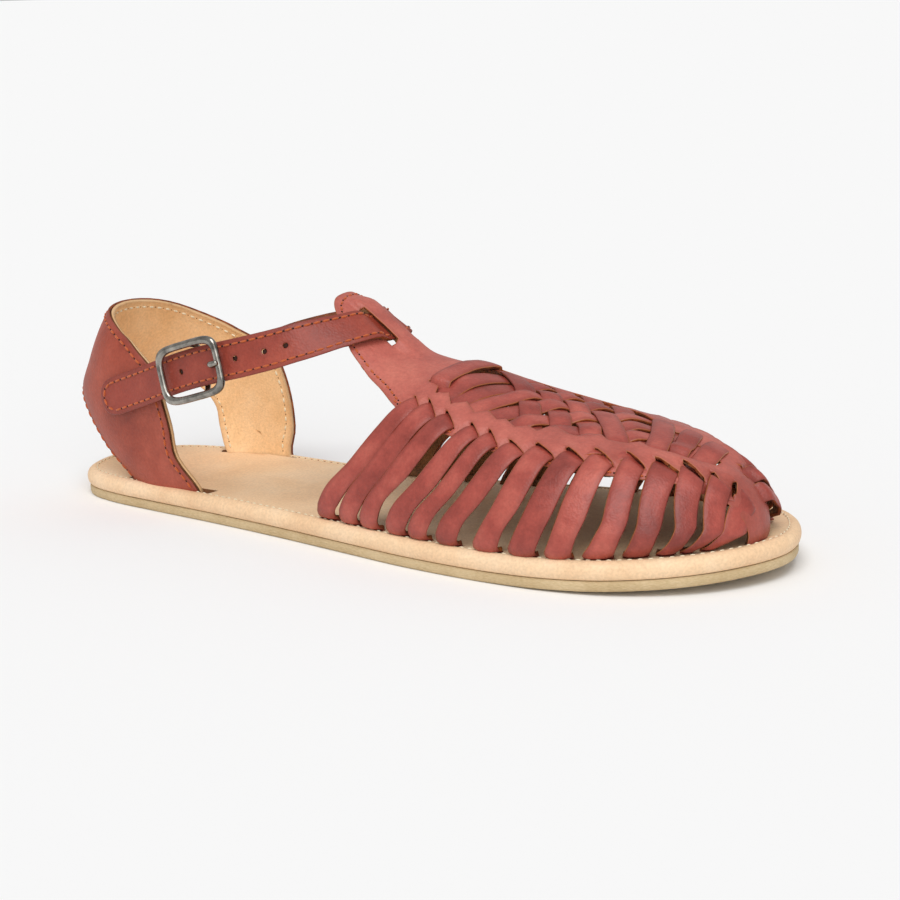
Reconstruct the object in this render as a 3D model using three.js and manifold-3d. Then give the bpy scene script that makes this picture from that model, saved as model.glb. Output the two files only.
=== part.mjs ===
// Huarache sandal for the right foot: a flat sole, a leather-wrapped footbed, a hollow vamp of leather ribs
// that come up out of the footbed into a saddle, a heel counter with a leg on each side, and an ankle strap
// that runs under a bridge in the saddle and buckles on the outer side.
// Millimetres. +X is the toe, +Y the inner (medial) side, +Z up, and the floor is z = 0.

import * as THREE from "three";
import Module from "manifold-3d";

const wasm = await Module();
wasm.setup();

// Driving sizes.
const HALF_LENGTH = 125;
const GAP = 0.3;
const OUTSOLE = 3;
const FOOTBED = 5;
const LEATHER = 1.6;
const COUNTER_WALL = 2.4;
const SPRING_START = 45;
const TOE_SPRING = 3.6;
const SLOT_INSET = 5;
const SLOT_DEPTH = 3.4;
const BED_TOP = OUTSOLE + GAP + FOOTBED;
const STRAP_WIDTH = 12;
const STRAP = 1.7;

// Sole outline: x, then how far the edge stands to the lateral and to the medial side.
const SOLE = [
  { x: -123, lateral: 10.5, medial: 10.5 },
  { x: -119, lateral: 18, medial: 17.8 },
  { x: -112, lateral: 23.8, medial: 24.2 },
  { x: -100, lateral: 27.4, medial: 28.4 },
  { x: -80, lateral: 29.7, medial: 29.8 },
  { x: -55, lateral: 32, medial: 28.9 },
  { x: -25, lateral: 35.6, medial: 27.8 },
  { x: 5, lateral: 40.2, medial: 31 },
  { x: 25, lateral: 43.2, medial: 36 },
  { x: 45, lateral: 44.7, medial: 41.2 },
  { x: 62, lateral: 44.8, medial: 44.2 },
  { x: 75, lateral: 43.9, medial: 44.8 },
  { x: 90, lateral: 40.4, medial: 42.6 },
  { x: 105, lateral: 32.4, medial: 36.4 },
  { x: 115, lateral: 23, medial: 27 },
  { x: 121, lateral: 13.4, medial: 17.2 },
  { x: 124, lateral: 5.6, medial: 9.2 },
];

// Inside of the vamp on the last: crest height, bulge of the low sides, fullness of the lateral and the medial
// shoulder, and how far the medial side is drawn in.
const LAST = [
  { x: -26, crest: 70, bulge: 0, full: 0.06, medialFull: -0.12, medialIn: 0 },
  { x: -20, crest: 67, bulge: 0, full: 0.06, medialFull: -0.12, medialIn: 0 },
  { x: -14, crest: 63.3, bulge: 0, full: 0.06, medialFull: -0.12, medialIn: 0 },
  { x: -7, crest: 58.4, bulge: 0, full: 0.05, medialFull: -0.12, medialIn: 0 },
  { x: 0, crest: 53.4, bulge: 0.5, full: 0.04, medialFull: -0.08, medialIn: 0 },
  { x: 10, crest: 50.6, bulge: 1, full: 0.03, medialFull: -0.02, medialIn: 0 },
  { x: 20, crest: 48.6, bulge: 1.5, full: 0.03, medialFull: 0.02, medialIn: 0 },
  { x: 40, crest: 43, bulge: 2.2, full: 0.04, medialFull: 0.04, medialIn: 0 },
  { x: 60, crest: 38.5, bulge: 2.6, full: 0.05, medialFull: 0.05, medialIn: 0.5 },
  { x: 75, crest: 36.5, bulge: 2.6, full: 0.05, medialFull: 0.03, medialIn: 1.8 },
  { x: 90, crest: 34, bulge: 2, full: 0.04, medialFull: 0, medialIn: 3.4 },
  { x: 100, crest: 31, bulge: 1.4, full: 0.03, medialFull: -0.03, medialIn: 4.8 },
  { x: 108, crest: 27.2, bulge: 0.8, full: 0.02, medialFull: -0.03, medialIn: 5.2 },
  { x: 114, crest: 22.4, bulge: 0.4, full: 0.02, medialFull: 0, medialIn: 4 },
  { x: 118, crest: 16.5, bulge: 0, full: 0.02, medialFull: 0.02, medialIn: 1 },
];

// Edge of the saddle on the last, as degrees up from the footbed on the lateral side; the medial one mirrors it.
const SADDLE = [
  { x: -21.5, edge: 82 },
  { x: -19.5, edge: 73 },
  { x: -17, edge: 69 },
  { x: -13, edge: 65.5 },
  { x: -6, edge: 61.5 },
  { x: -0.5, edge: 58.5 },
  { x: 5, edge: 55 },
  { x: 11.5, edge: 50.5 },
  { x: 18, edge: 47 },
  { x: 27, edge: 46.5 },
  { x: 36, edge: 46.5 },
  { x: 45, edge: 46.5 },
  { x: 54, edge: 46.5 },
  { x: 63, edge: 46.5 },
  { x: 72, edge: 46.5 },
  { x: 81, edge: 47 },
  { x: 89, edge: 48 },
  { x: 96, edge: 49 },
  { x: 102, edge: 50 },
  { x: 107, edge: 51 },
  { x: 111.5, edge: 52 },
];

// Ribs from the heel end: x of the foot in the footbed, x and angle of the top in the saddle, width along x.
const RIBS = [
  { foot: -4.5, top: 17, up: 54, wide: 6.2 },
  { foot: 3.8, top: 24, up: 54, wide: 6.2 },
  { foot: 12.2, top: 31.5, up: 53, wide: 6.2 },
  { foot: 21, top: 39, up: 53, wide: 6.2 },
  { foot: 30, top: 47, up: 53, wide: 6.2 },
  { foot: 40, top: 54.5, up: 53, wide: 6.8 },
  { foot: 52, top: 63, up: 53, wide: 7.2 },
  { foot: 64, top: 72.5, up: 53, wide: 7.2 },
  { foot: 75.8, top: 81, up: 53, wide: 7.2 },
  { foot: 86.6, top: 89.3, up: 54, wide: 6.8 },
  { foot: 95.6, top: 96.6, up: 55, wide: 6.2 },
  { foot: 103, top: 103, up: 56, wide: 5.2 },
  { foot: 109.2, top: 108, up: 57, wide: 4.2 },
  { foot: 115.2, top: 113.6, up: 64, wide: 5.2 },
];
// The medial ribs start further back, and the last two lean forward to the toe tab.
const MEDIAL_RIBS = [
  { foot: -15, top: 12.5, up: 57, wide: 6.2 },
  { foot: -5, top: 20, up: 55, wide: 6.2 },
  { foot: 5, top: 28, up: 53, wide: 6.2 },
  { foot: 15, top: 36.5, up: 53, wide: 6.2 },
  { foot: 25.5, top: 45, up: 53, wide: 6.2 },
  { foot: 37, top: 53.5, up: 53, wide: 6.8 },
  { foot: 49.5, top: 62.5, up: 53, wide: 7.2 },
  { foot: 62.5, top: 72, up: 53, wide: 7.2 },
  ...RIBS.slice(8, 12),
  { foot: 107.4, top: 111.2, up: 63, wide: 3.2 },
  { foot: 110.9, top: 116, up: 79, wide: 2.8 },
];

// Outer face of the heel counter: rearmost x, start of the straight sides and half width at each height.
const COUNTER = [
  { z: 0, rear: -102, centre: -70, half: 26 },
  { z: 8, rear: -109, centre: -76, half: 28 },
  { z: 20, rear: -119, centre: -86, half: 29.6 },
  { z: 34, rear: -124.8, centre: -92, half: 30.5 },
  { z: 45, rear: -119.8, centre: -92, half: 30.2 },
  { z: 54, rear: -115.6, centre: -92, half: 27.8 },
  { z: 62, rear: -112, centre: -92, half: 23.2 },
];

// The counter's edges from a leg's foot to the back of the heel: the front and top edge, and the rear and lower
// edge on either side. Places along it are 0 at the back, 1 where the straight side starts and then 50 mm a unit.
const COUNTER_EDGES = [
  { front: 1.24, frontUp: 4.9, medialFront: 1.13, lateral: 0.66, medial: 0.62, rearUp: 4.9 },
  { front: 1.29, frontUp: 9, medialFront: 1.15, lateral: 0.66, medial: 0.63, rearUp: 9 },
  { front: 1.3, frontUp: 18, medialFront: 1.32, lateral: 0.61, medial: 0.68, rearUp: 15 },
  { front: 1.38, frontUp: 28, medialFront: 1.39, lateral: 0.57, medial: 0.73, rearUp: 21.5 },
  { front: 1.38, frontUp: 37, medialFront: 1.37, lateral: 0.53, medial: 0.69, rearUp: 27 },
  { front: 1.3, frontUp: 45.5, medialFront: 1.24, medialUp: 44, lateral: 0.47, medial: 0.58, rearUp: 30.5 },
  { front: 1.16, frontUp: 51, medialFront: 1.02, medialUp: 48.8, lateral: 0.38, medial: 0.44, rearUp: 32.6 },
  { front: 1.01, frontUp: 55.8, medialFront: 0.76, medialUp: 53.4, lateral: 0.27, medial: 0.3, rearUp: 33.6 },
  { front: 0.66, frontUp: 60.4, medialFront: 0.4, medialUp: 59.4, lateral: 0.14, medial: 0.15, rearUp: 34 },
  { front: 0, frontUp: 61.8, lateral: 0, medial: 0, rearUp: 34 },
];

// Toe tab of the saddle, from the crest down into its slot in the footbed.
const TOE_TAB = [
  { x: 106, z: 29.2, half: 8.6 },
  { x: 110, z: 26.9, half: 8.4 },
  { x: 114, z: 23.4, half: 7.8 },
  { x: 116.8, z: 19, half: 6.8 },
  { x: 118.2, z: 15, half: 6 },
  { x: 118.7, z: 12, half: 5.6 },
  { x: 118.7, z: 8.2, half: 5.4 },
];
const TOE_TAB_Y = -3;

// Middle of the ankle strap at its sides: the tip on the lateral counter first, then the medial end last.
// Lean tips the upper edge of the strap backwards, inward tips it towards the ankle.
const STRAP_LATERAL = [
  { x: -96.8, y: -31.4, z: 34.6, lean: 0.33, inward: 0.04 },
  { x: -92.5, y: -31.8, z: 35.9, lean: 0.33, inward: 0.04 },
  { x: -85, y: -32.1, z: 38.5, lean: 0.33, inward: 0.05 },
  { x: -76, y: -32.9, z: 41.6, lean: 0.32, inward: 0.06 },
  { x: -65.5, y: -34, z: 45.4, lean: 0.31, inward: 0.06 },
  { x: -55, y: -34.7, z: 48.8, lean: 0.28, inward: 0.06 },
  { x: -46, y: -34.4, z: 51.2, lean: 0.27, inward: 0.1 },
  { x: -37, y: -32.8, z: 53.4, lean: 0.27, inward: 0.16 },
  { x: -28, y: -30, z: 55.8, lean: 0.3, inward: 0.26 },
  { x: -20.5, y: -26.4, z: 57.6, lean: 0.42, inward: 0.38 },
];
const STRAP_OVER_SADDLE = [
  { x: -13.6, angle: 58, lift: 3.1 },
  { x: -11.8, angle: 66, lift: 2.9 },
  { x: -9.8, angle: 73.5, lift: 2.9 },
  { x: -8.4, angle: 80.5, lift: 1.2 },
  { x: -8.2, angle: 90, lift: 1.1 },
  { x: -9.6, angle: 98, lift: 1.3 },
  { x: -12.4, angle: 106, lift: 3.2 },
  { x: -15, angle: 114, lift: 3.2 },
];
const STRAP_MEDIAL = [
  { x: -23, y: 20.8, z: 56.6, lean: 0.46, inward: 0.4 },
  { x: -31, y: 27.4, z: 54.6, lean: 0.3, inward: 0.26 },
  { x: -42, y: 31.4, z: 51.8, lean: 0.27, inward: 0.14 },
  { x: -56, y: 33, z: 48.8, lean: 0.27, inward: 0.08 },
  { x: -70, y: 32.8, z: 45.2, lean: 0.28, inward: 0.05 },
  { x: -82, y: 32.2, z: 41.6, lean: 0.29, inward: 0.05 },
  { x: -94, y: 31.7, z: 38, lean: 0.29, inward: 0.04 },
];

const vec = (x, y, z) => new THREE.Vector3(x, y, z);

// Smooth value of one column of a table whose rows go up in the key column.
function smooth(rows, key, column, at) {
  const last = rows.length - 1;
  if (at <= rows[0][key]) return rows[0][column];
  if (at >= rows[last][key]) return rows[last][column];
  let i = 0;
  while (rows[i + 1][key] < at) i += 1;
  const slope = (k) => {
    const a = rows[Math.max(k - 1, 0)];
    const b = rows[Math.min(k + 1, last)];
    return (b[column] - a[column]) / (b[key] - a[key]);
  };
  const span = rows[i + 1][key] - rows[i][key];
  const t = (at - rows[i][key]) / span;
  const rise = rows[i + 1][column] - rows[i][column];
  const a = slope(i) * span - rise;
  const b = -slope(i + 1) * span + rise;
  return rows[i][column] + t * rise + t * (1 - t) * (a * (1 - t) + b * t);
}

const mix = (a, b, t) => a + (b - a) * t;
const ease = (t) => t * t * (3 - 2 * t);
const range = (n) => Array.from({ length: n }, (_, i) => i);

function spring(x) {
  return TOE_SPRING * Math.max(0, (x - SPRING_START) / (HALF_LENGTH - SPRING_START)) ** 2;
}

// The closed outline of the sole, from the heel along the lateral side to the toe and back.
function soleCurve() {
  const points = [vec(-HALF_LENGTH, 0, 0)];
  for (const row of SOLE) points.push(vec(row.x, -row.lateral, 0));
  points.push(vec(HALF_LENGTH, 1.5, 0));
  for (const row of [...SOLE].reverse()) points.push(vec(row.x, row.medial, 0));
  return new THREE.CatmullRomCurve3(points, true, "centripetal");
}

const OUTLINE = soleCurve();
const OUTLINE_STEPS = 96;

// The outline moved inwards, as rings of points that keep their places round the sole.
function ring(inset, z) {
  return range(OUTLINE_STEPS).map((i) => {
    const p = OUTLINE.getPoint(i / OUTLINE_STEPS);
    const t = OUTLINE.getTangent(i / OUTLINE_STEPS);
    p.x -= t.y * inset;
    p.y += t.x * inset;
    p.z = z + spring(p.x);
    return p;
  });
}

// How far the slot line stands from the middle of the sole at x.
const SLOT_LINE = ring(SLOT_INSET, 0);

function slotWidth(x, side) {
  const n = SLOT_LINE.length;
  for (let i = 0; i < n; i += 1) {
    const a = SLOT_LINE[i];
    const b = SLOT_LINE[(i + 1) % n];
    const crosses = (a.x - x) * (b.x - x) <= 0 && Math.sign(a.y + b.y) === side;
    if (crosses && a.x !== b.x) return Math.abs(mix(a.y, b.y, (x - a.x) / (b.x - a.x)));
  }
  return 0.5;
}

// A point on the inside of the vamp. Angle 0 is the lateral slot line, 90 the crest, 180 the medial one.
function onLast(x, degrees) {
  const side = degrees > 90 ? 1 : -1;
  const a = THREE.MathUtils.degToRad(degrees > 90 ? 180 - degrees : degrees);
  const base = BED_TOP + spring(x);
  const height = smooth(LAST, "x", "crest", x) - base;
  const full = smooth(LAST, "x", side > 0 ? "medialFull" : "full", x);
  const fuller = 1 + full * Math.sin(2 * a) ** 2;
  const bulge = smooth(LAST, "x", "bulge", x) * Math.sin(2 * a) * Math.cos(a);
  const drawnIn = side > 0 ? smooth(LAST, "x", "medialIn", x) : 0;
  const y = (slotWidth(x, side) - drawnIn) * Math.cos(a) * fuller + bulge;
  return vec(x, side * y, base + height * Math.sin(a) * fuller);
}

// The same point with the outward normal, found from its neighbours.
function lastFrame(x, degrees) {
  const p = onLast(x, degrees);
  const along = onLast(x + 0.5, degrees).sub(onLast(x - 0.5, degrees));
  const around = onLast(x, degrees + 0.5).sub(onLast(x, degrees - 0.5));
  return { p, n: around.cross(along).normalize().negate() };
}

// A closed sheet of leather over a grid of frames. Each frame has its own lift from the surface, and cells
// that keep() turns down are left out, with walls round the hole.
function sheet(rows, thickness, keep = () => true) {
  const nr = rows.length;
  const nc = rows[0].length;
  const position = [];
  for (const level of [0, thickness]) {
    for (const frame of rows.flat()) {
      position.push(...frame.p.clone().addScaledVector(frame.n, (frame.lift ?? 0) + level));
    }
  }
  const top = nr * nc;
  const at = (i, j) => i * nc + j;
  const kept = (i, j) => i >= 0 && j >= 0 && i < nr - 1 && j < nc - 1 && keep(i, j);
  const index = [];
  const quad = (a, b, c, d) => index.push(a, b, c, a, c, d);
  const wall = (a, b) => quad(b, a, a + top, b + top);
  for (let i = 0; i < nr - 1; i += 1) {
    for (let j = 0; j < nc - 1; j += 1) {
      if (!kept(i, j)) continue;
      const [a, b, c, d] = [at(i, j), at(i, j + 1), at(i + 1, j + 1), at(i + 1, j)];
      quad(a, b, c, d);
      quad(a + top, d + top, c + top, b + top);
      if (!kept(i - 1, j)) wall(a, b);
      if (!kept(i, j + 1)) wall(b, c);
      if (!kept(i + 1, j)) wall(c, d);
      if (!kept(i, j - 1)) wall(d, a);
    }
  }
  return closed(position, index);
}

// Closed geometry from flat arrays, turned to face out.
function closed(position, index) {
  let volume = 0;
  const v = (k) => vec(position[3 * k], position[3 * k + 1], position[3 * k + 2]);
  for (let i = 0; i < index.length; i += 3) {
    volume += v(index[i]).dot(v(index[i + 1]).cross(v(index[i + 2])));
  }
  if (volume < 0) index.reverse();
  return { position, index };
}

function toSolid({ position, index }) {
  const used = [...new Set(index)];
  const place = new Map(used.map((old, i) => [old, i]));
  const vertProperties = new Float32Array(used.flatMap((k) => position.slice(3 * k, 3 * k + 3)));
  const triVerts = new Uint32Array(index.map((k) => place.get(k)));
  return new wasm.Manifold(new wasm.Mesh({ numProp: 3, vertProperties, triVerts }));
}

function toGeometry(solid) {
  const { vertProperties, triVerts } = solid.getMesh();
  const geometry = new THREE.BufferGeometry();
  geometry.setAttribute("position", new THREE.BufferAttribute(vertProperties, 3));
  geometry.setIndex(new THREE.BufferAttribute(triVerts, 1));
  return geometry;
}

// A solid through rings of equal count: walls between them, and caps in strips from side to side.
function loft(rings) {
  const n = rings[0].length;
  const position = rings.flat().flatMap((p) => [p.x, p.y, p.z]);
  const index = [];
  for (let k = 0; k < rings.length - 1; k += 1) {
    for (let i = 0; i < n; i += 1) {
      const j = (i + 1) % n;
      const [a, b, c, d] = [k * n + i, k * n + j, (k + 1) * n + j, (k + 1) * n + i];
      index.push(a, b, c, a, c, d);
    }
  }
  const top = (rings.length - 1) * n;
  for (let i = 0; i < n / 2; i += 1) {
    const [a, b, c, d] = [i, i + 1, n - 1 - i, (n - i) % n];
    if (a !== d) index.push(a, d, b, top + a, top + b, top + d);
    if (b !== c) index.push(d, c, b, top + d, top + b, top + c);
  }
  return closed(position, index);
}

function tube(points, radius, sides, steps) {
  const path = new THREE.CatmullRomCurve3(points, false, "centripetal");
  const disc = new THREE.Shape().absarc(0, 0, radius, 0, 2 * Math.PI);
  const options = { steps, extrudePath: path, curveSegments: sides, bevelEnabled: false };
  const geometry = new THREE.ExtrudeGeometry(disc, options);
  return weld(geometry);
}

// Joins the equal corners of a geometry and gives it as flat arrays.
function weld(geometry) {
  const source = geometry.getAttribute("position");
  const place = new Map();
  const position = [];
  const corner = (i) => {
    const p = [source.getX(i), source.getY(i), source.getZ(i)];
    const key = p.map((v) => v.toFixed(3)).join(" ");
    if (!place.has(key)) {
      place.set(key, position.length / 3);
      position.push(...p);
    }
    return place.get(key);
  };
  const order = geometry.index ? [...geometry.index.array] : range(source.count);
  const corners = order.map(corner);
  const index = [];
  for (let i = 0; i < corners.length; i += 3) {
    const [a, b, c] = corners.slice(i, i + 3);
    if (a !== b && b !== c && a !== c) index.push(a, b, c);
  }
  return closed(position, index);
}

// A rib's frame at share h of its way up, at side s (-1 to 1) of its width, grown by a margin for its slot.
function ribFrame(rib, hand, h, s, margin) {
  const x = mix(rib.foot, rib.top, h * (1.35 - 0.35 * h)) + (s * (rib.wide + 2 * margin)) / 2;
  const up = 1 + (rib.up - 1) * h;
  const frame = lastFrame(x, hand > 0 ? 180 - up : up);
  frame.lift = RIB_LIFT * ease(THREE.MathUtils.clamp((h - 0.68) / 0.2, 0, 1)) - margin;
  return frame;
}

const RIB_LIFT = 0.8;
const RIB_STEPS = 8;

// The rib's foot, straight down into the footbed by depth.
function footFrame(rib, hand, s, depth, margin) {
  const frame = ribFrame(rib, hand, 0, s, margin);
  frame.n.setZ(0).normalize();
  frame.p.z -= depth;
  return frame;
}

function ribSolid(rib, hand) {
  const foot = [-1, 0, 1].map((s) => footFrame(rib, hand, s, SLOT_DEPTH, 0));
  const rows = range(RIB_STEPS + 1).map((i) => {
    return [-1, 0, 1].map((s) => ribFrame(rib, hand, i / RIB_STEPS, s, 0));
  });
  return toSolid(sheet([foot, ...rows], LEATHER));
}

function ribSlot(rib, hand) {
  const rows = [SLOT_DEPTH + GAP, -1.5].map((depth) => {
    return [-1, 0, 1].map((s) => footFrame(rib, hand, s, depth, GAP));
  });
  return toSolid(sheet(rows, LEATHER + 2 * GAP));
}

// The saddle: one wall over the crest, from edge to edge, with a window on the instep for the ankle strap.
const WINDOW = { rear: -17, front: -0.5, low: 75, high: 105 };

function saddleAngles(edge) {
  const low = Math.max(WINDOW.low, edge + 2);
  const side = [0, 0.36, 0.7].map((t) => mix(edge, low, t));
  const middle = [0, 1 / 6, 1 / 3, 0.5, 2 / 3, 5 / 6, 1].map((t) => mix(low, 180 - low, t));
  return [...side, ...middle, ...side.reverse().map((a) => 180 - a)];
}

function saddleWall() {
  const rows = SADDLE.map((row) => saddleAngles(row.edge).map((a) => lastFrame(row.x, a)));
  const open = (i, j) => {
    const inWindow = SADDLE[i].x >= WINDOW.rear && SADDLE[i + 1].x <= WINDOW.front;
    return inWindow && j >= 3 && j < 9;
  };
  return toSolid(sheet(rows, LEATHER, (i, j) => !open(i, j)));
}

// The bridge that the ankle strap runs under, standing proud of the saddle.
const BRIDGE = [
  { x: -20.5, lift: 0.8 },
  { x: -19, lift: 1.5 },
  { x: -17, lift: 2.5 },
  { x: -10, lift: 2.6 },
  { x: -4, lift: 2.5 },
  { x: -1, lift: 2.1 },
  { x: 1.5, lift: 1.4 },
  { x: 4.5, lift: 0.8 },
];

function bridge() {
  const angles = [80.4, 84.3, 88.2, 92.1, 96];
  const rows = BRIDGE.map(({ x, lift }) => angles.map((a) => ({ ...lastFrame(x, a), lift })));
  return toSolid(sheet(rows, LEATHER));
}

// Frames of the toe tab: rows from the crest to the foot, bent round the toe.
function toeTabRows(rows, margin) {
  return rows.map((row, i) => {
    const a = rows[Math.max(i - 1, 0)];
    const b = rows[Math.min(i + 1, rows.length - 1)];
    const slope = vec(b.x - a.x, 0, b.z - a.z).normalize();
    return [-1, -0.5, 0, 0.5, 1].map((s) => {
      const y = s * (row.half + margin);
      const p = vec(row.x - (y * y) / 34, TOE_TAB_Y + y, row.z - (slope.x * y * y) / 26);
      const n = vec(-slope.z, y / 17, slope.x).normalize();
      return { p, n, lift: -margin };
    });
  });
}

function toeTabSlot() {
  const foot = TOE_TAB[TOE_TAB.length - 1];
  const rows = [{ ...foot, z: foot.z - GAP }, { ...foot, z: foot.z + 6 }];
  return toSolid(sheet(toeTabRows(rows.reverse(), GAP), LEATHER + 2 * GAP));
}

function upper() {
  let solid = saddleWall().add(bridge()).add(toSolid(sheet(toeTabRows(TOE_TAB, 0), LEATHER)));
  for (const rib of RIBS) solid = solid.add(ribSolid(rib, -1));
  for (const rib of MEDIAL_RIBS) solid = solid.add(ribSolid(rib, 1));
  return solid;
}

// A point on the outer face of the heel counter; hand is -1 on the lateral side.
function onCounter(along, z, hand) {
  const rear = smooth(COUNTER, "z", "rear", z);
  const centre = smooth(COUNTER, "z", "centre", z);
  const half = smooth(COUNTER, "z", "half", z);
  const turn = (Math.min(along, 1) * Math.PI) / 2;
  const x = centre - (centre - rear) * Math.cos(turn) + Math.max(along - 1, 0) * 50;
  return vec(x, hand * half * Math.sin(turn), z);
}

function counterFrame(along, z, hand) {
  const p = onCounter(along, z, hand);
  const forward = onCounter(along + 0.02, z, hand).sub(onCounter(along - 0.02, z, hand));
  const upward = onCounter(along, z + 0.5, hand).sub(onCounter(along, z - 0.5, hand));
  const n = upward.cross(forward).multiplyScalar(hand).normalize();
  return { p, n, lift: -COUNTER_WALL };
}

// Frames of one half of the counter, from the leg's foot to the back of the heel, grown by a margin.
function counterHalf(hand, margin) {
  const edge = (along, up) => {
    const points = COUNTER_EDGES.map((row) => vec(row[along] ?? row.front, (row[up] ?? row.frontUp) / 50, 0));
    return new THREE.CatmullRomCurve3(points, false, "centripetal");
  };
  const front = hand > 0 ? edge("medialFront", "medialUp") : edge("front", "frontUp");
  const rear = edge(hand > 0 ? "medial" : "lateral", "rearUp");
  return range(19).map((i) => {
    const a = front.getPoint(i / 18);
    const b = rear.getPoint(i / 18);
    return range(7).map((j) => {
      const along = mix(b.x - margin / 30, a.x + margin / 30, j / 6);
      const frame = counterFrame(along, mix(b.y, a.y, j / 6) * 50, hand);
      frame.lift -= margin;
      return frame;
    });
  });
}

function heelCounter() {
  const lateral = counterHalf(-1, 0);
  const medial = counterHalf(1, 0).reverse().slice(1);
  return toSolid(sheet([...lateral, ...medial], COUNTER_WALL));
}

// The leg's pocket in the footbed: the leg's own first rows, grown, with a deeper end.
function counterSlot(hand) {
  const rows = counterHalf(hand, GAP).slice(0, 5);
  for (const frame of rows[0]) frame.p.z -= GAP;
  return toSolid(sheet(rows, COUNTER_WALL + 2 * GAP));
}

function outsole() {
  return toSolid(loft([ring(1.4, 0), ring(0.6, 0.8), ring(0.6, OUTSOLE)]));
}

function footbed() {
  const low = OUTSOLE + GAP;
  const profile = [
    { inset: 1, up: 0 },
    { inset: 0.2, up: 0.9 },
    { inset: 0, up: 2.2 },
    { inset: 0.35, up: 3.6 },
    { inset: 1.2, up: 4.6 },
    { inset: 2.6, up: FOOTBED },
  ];
  let solid = toSolid(loft(profile.map((row) => ring(row.inset, low + row.up))));
  for (const rib of RIBS) solid = solid.subtract(ribSlot(rib, -1));
  for (const rib of MEDIAL_RIBS) solid = solid.subtract(ribSlot(rib, 1));
  return solid.subtract(counterSlot(-1)).subtract(counterSlot(1)).subtract(toeTabSlot());
}

// Frames along the middle of the strap: centre, direction across its width and outward normal.
function strapFrames() {
  const free = (row, hand) => {
    const across = vec(-row.lean, -hand * row.inward, 1).normalize();
    return { p: vec(row.x, row.y, row.z), across };
  };
  const over = (row) => {
    const { p, n } = lastFrame(row.x, row.angle);
    const across = onLast(row.x - 1, row.angle).sub(onLast(row.x + 1, row.angle)).normalize();
    return { p: p.addScaledVector(n, row.lift), across };
  };
  const lateral = STRAP_LATERAL.map((row) => free(row, -1));
  const medial = STRAP_MEDIAL.map((row) => free(row, 1));
  return [...lateral, ...STRAP_OVER_SADDLE.map(over), ...medial];
}

const STRAP_FRAMES = strapFrames();
const STRAP_PATH = new THREE.CatmullRomCurve3(STRAP_FRAMES.map((f) => f.p), false, "centripetal");
const STRAP_ACROSS = new THREE.CatmullRomCurve3(STRAP_FRAMES.map((f) => f.across), false, "centripetal");

function strapFrame(t) {
  const p = STRAP_PATH.getPoint(t);
  const along = STRAP_PATH.getTangent(t);
  const lean = STRAP_ACROSS.getPoint(t);
  const n = along.clone().cross(lean).normalize();
  const across = n.clone().cross(along).normalize();
  return { p, along, across, n };
}

const STRAP_STEPS = 64;

function strapRow(t, half) {
  const { p, across, n } = strapFrame(t);
  return [-1, 0, 1].map((s) => {
    return { p: p.clone().addScaledVector(across, s * half), n, lift: -STRAP / 2 };
  });
}

function ankleStrap() {
  const tip = [
    { t: 0, half: 1.8 },
    { t: 0.003, half: 3.4 },
    { t: 0.01, half: 4.9 },
    { t: 0.02, half: 5.8 },
  ];
  const round = tip.map((row) => strapRow(row.t, row.half));
  const body = range(STRAP_STEPS).map((i) => mix(0.033, 1, i / (STRAP_STEPS - 1)));
  const rows = [...round, ...body.map((t) => strapRow(t, STRAP_WIDTH / 2))];
  return toSolid(sheet(rows, STRAP));
}

// The buckle sits on the strap at its sixth row; its own frame runs along, across and out from the strap.
const BUCKLE_AT = 5 / (STRAP_FRAMES.length - 1);
const BUCKLE = { halfLength: 12, halfWidth: 8.1, wire: 1.25, out: 2.5, bar: -3.7, barWire: 0.9 };

function onBuckle(s, across, out) {
  const f = strapFrame(BUCKLE_AT);
  const p = f.p.clone().addScaledVector(f.along, s);
  return p.addScaledVector(f.across, across).addScaledVector(f.n, out);
}

function buckleRing() {
  const { halfLength: a, halfWidth: b, out } = BUCKLE;
  const quarter = [
    [a, 0],
    [a, b * 0.55],
    [a * 0.93, b * 0.87],
    [a * 0.68, b],
    [a * 0.3, b],
  ];
  const corner = (sx, sy) => quarter.map(([s, w]) => onBuckle(sx * s, sy * w, out));
  const first = corner(1, 1);
  const second = corner(-1, 1).reverse();
  const third = corner(-1, -1).slice(1);
  const fourth = corner(1, -1).reverse().slice(0, -1);
  const points = [...first, ...second, ...third, ...fourth];
  const path = new THREE.CatmullRomCurve3(points, true, "centripetal");
  return toSolid(weld(new THREE.TubeGeometry(path, 44, BUCKLE.wire, 8, true)));
}

function buckleFrame() {
  const { halfWidth: b, out, bar } = BUCKLE;
  const places = [
    [b, out],
    [b - 0.1, 0],
    [b - 0.7, -2.4],
    [b - 2.4, bar],
    [0, bar],
  ];
  const upperHalf = places.map(([w, n]) => onBuckle(0, w, n));
  const lowerHalf = places.slice(0, -1).reverse().map(([w, n]) => onBuckle(0, -w, n));
  return buckleRing().add(toSolid(tube([...upperHalf, ...lowerHalf], BUCKLE.barWire, 6, 16)));
}

const PRONG = [
  { s: 2.9, out: -3.1 },
  { s: 5, out: -2 },
  { s: 7.2, out: -0.2 },
  { s: 8.6, out: 2.2 },
  { s: 10, out: 4.2 },
  { s: 11.8, out: 4.9 },
  { s: 13.6, out: 4.9 },
];

function prong(radius) {
  return toSolid(tube(PRONG.map((row) => onBuckle(row.s, 0, row.out)), radius, 6, 12));
}

// The short tab that ties the bar to the inside of the lateral counter: the middle of its leather.
const TAB = [
  { s: -24, out: -8.3 },
  { s: -16, out: -7.7 },
  { s: -9, out: -7 },
  { s: -4, out: -6.1 },
  { s: 0, out: -5.6 },
  { s: 1.5, out: -4.9 },
  { s: 1.9, out: -3.7 },
  { s: 1.4, out: -2.4 },
  { s: 0, out: -1.9 },
  { s: -2.4, out: -1.95 },
];
const TAB_LEATHER = 1;
const TAB_HALF = 3.6;

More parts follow.
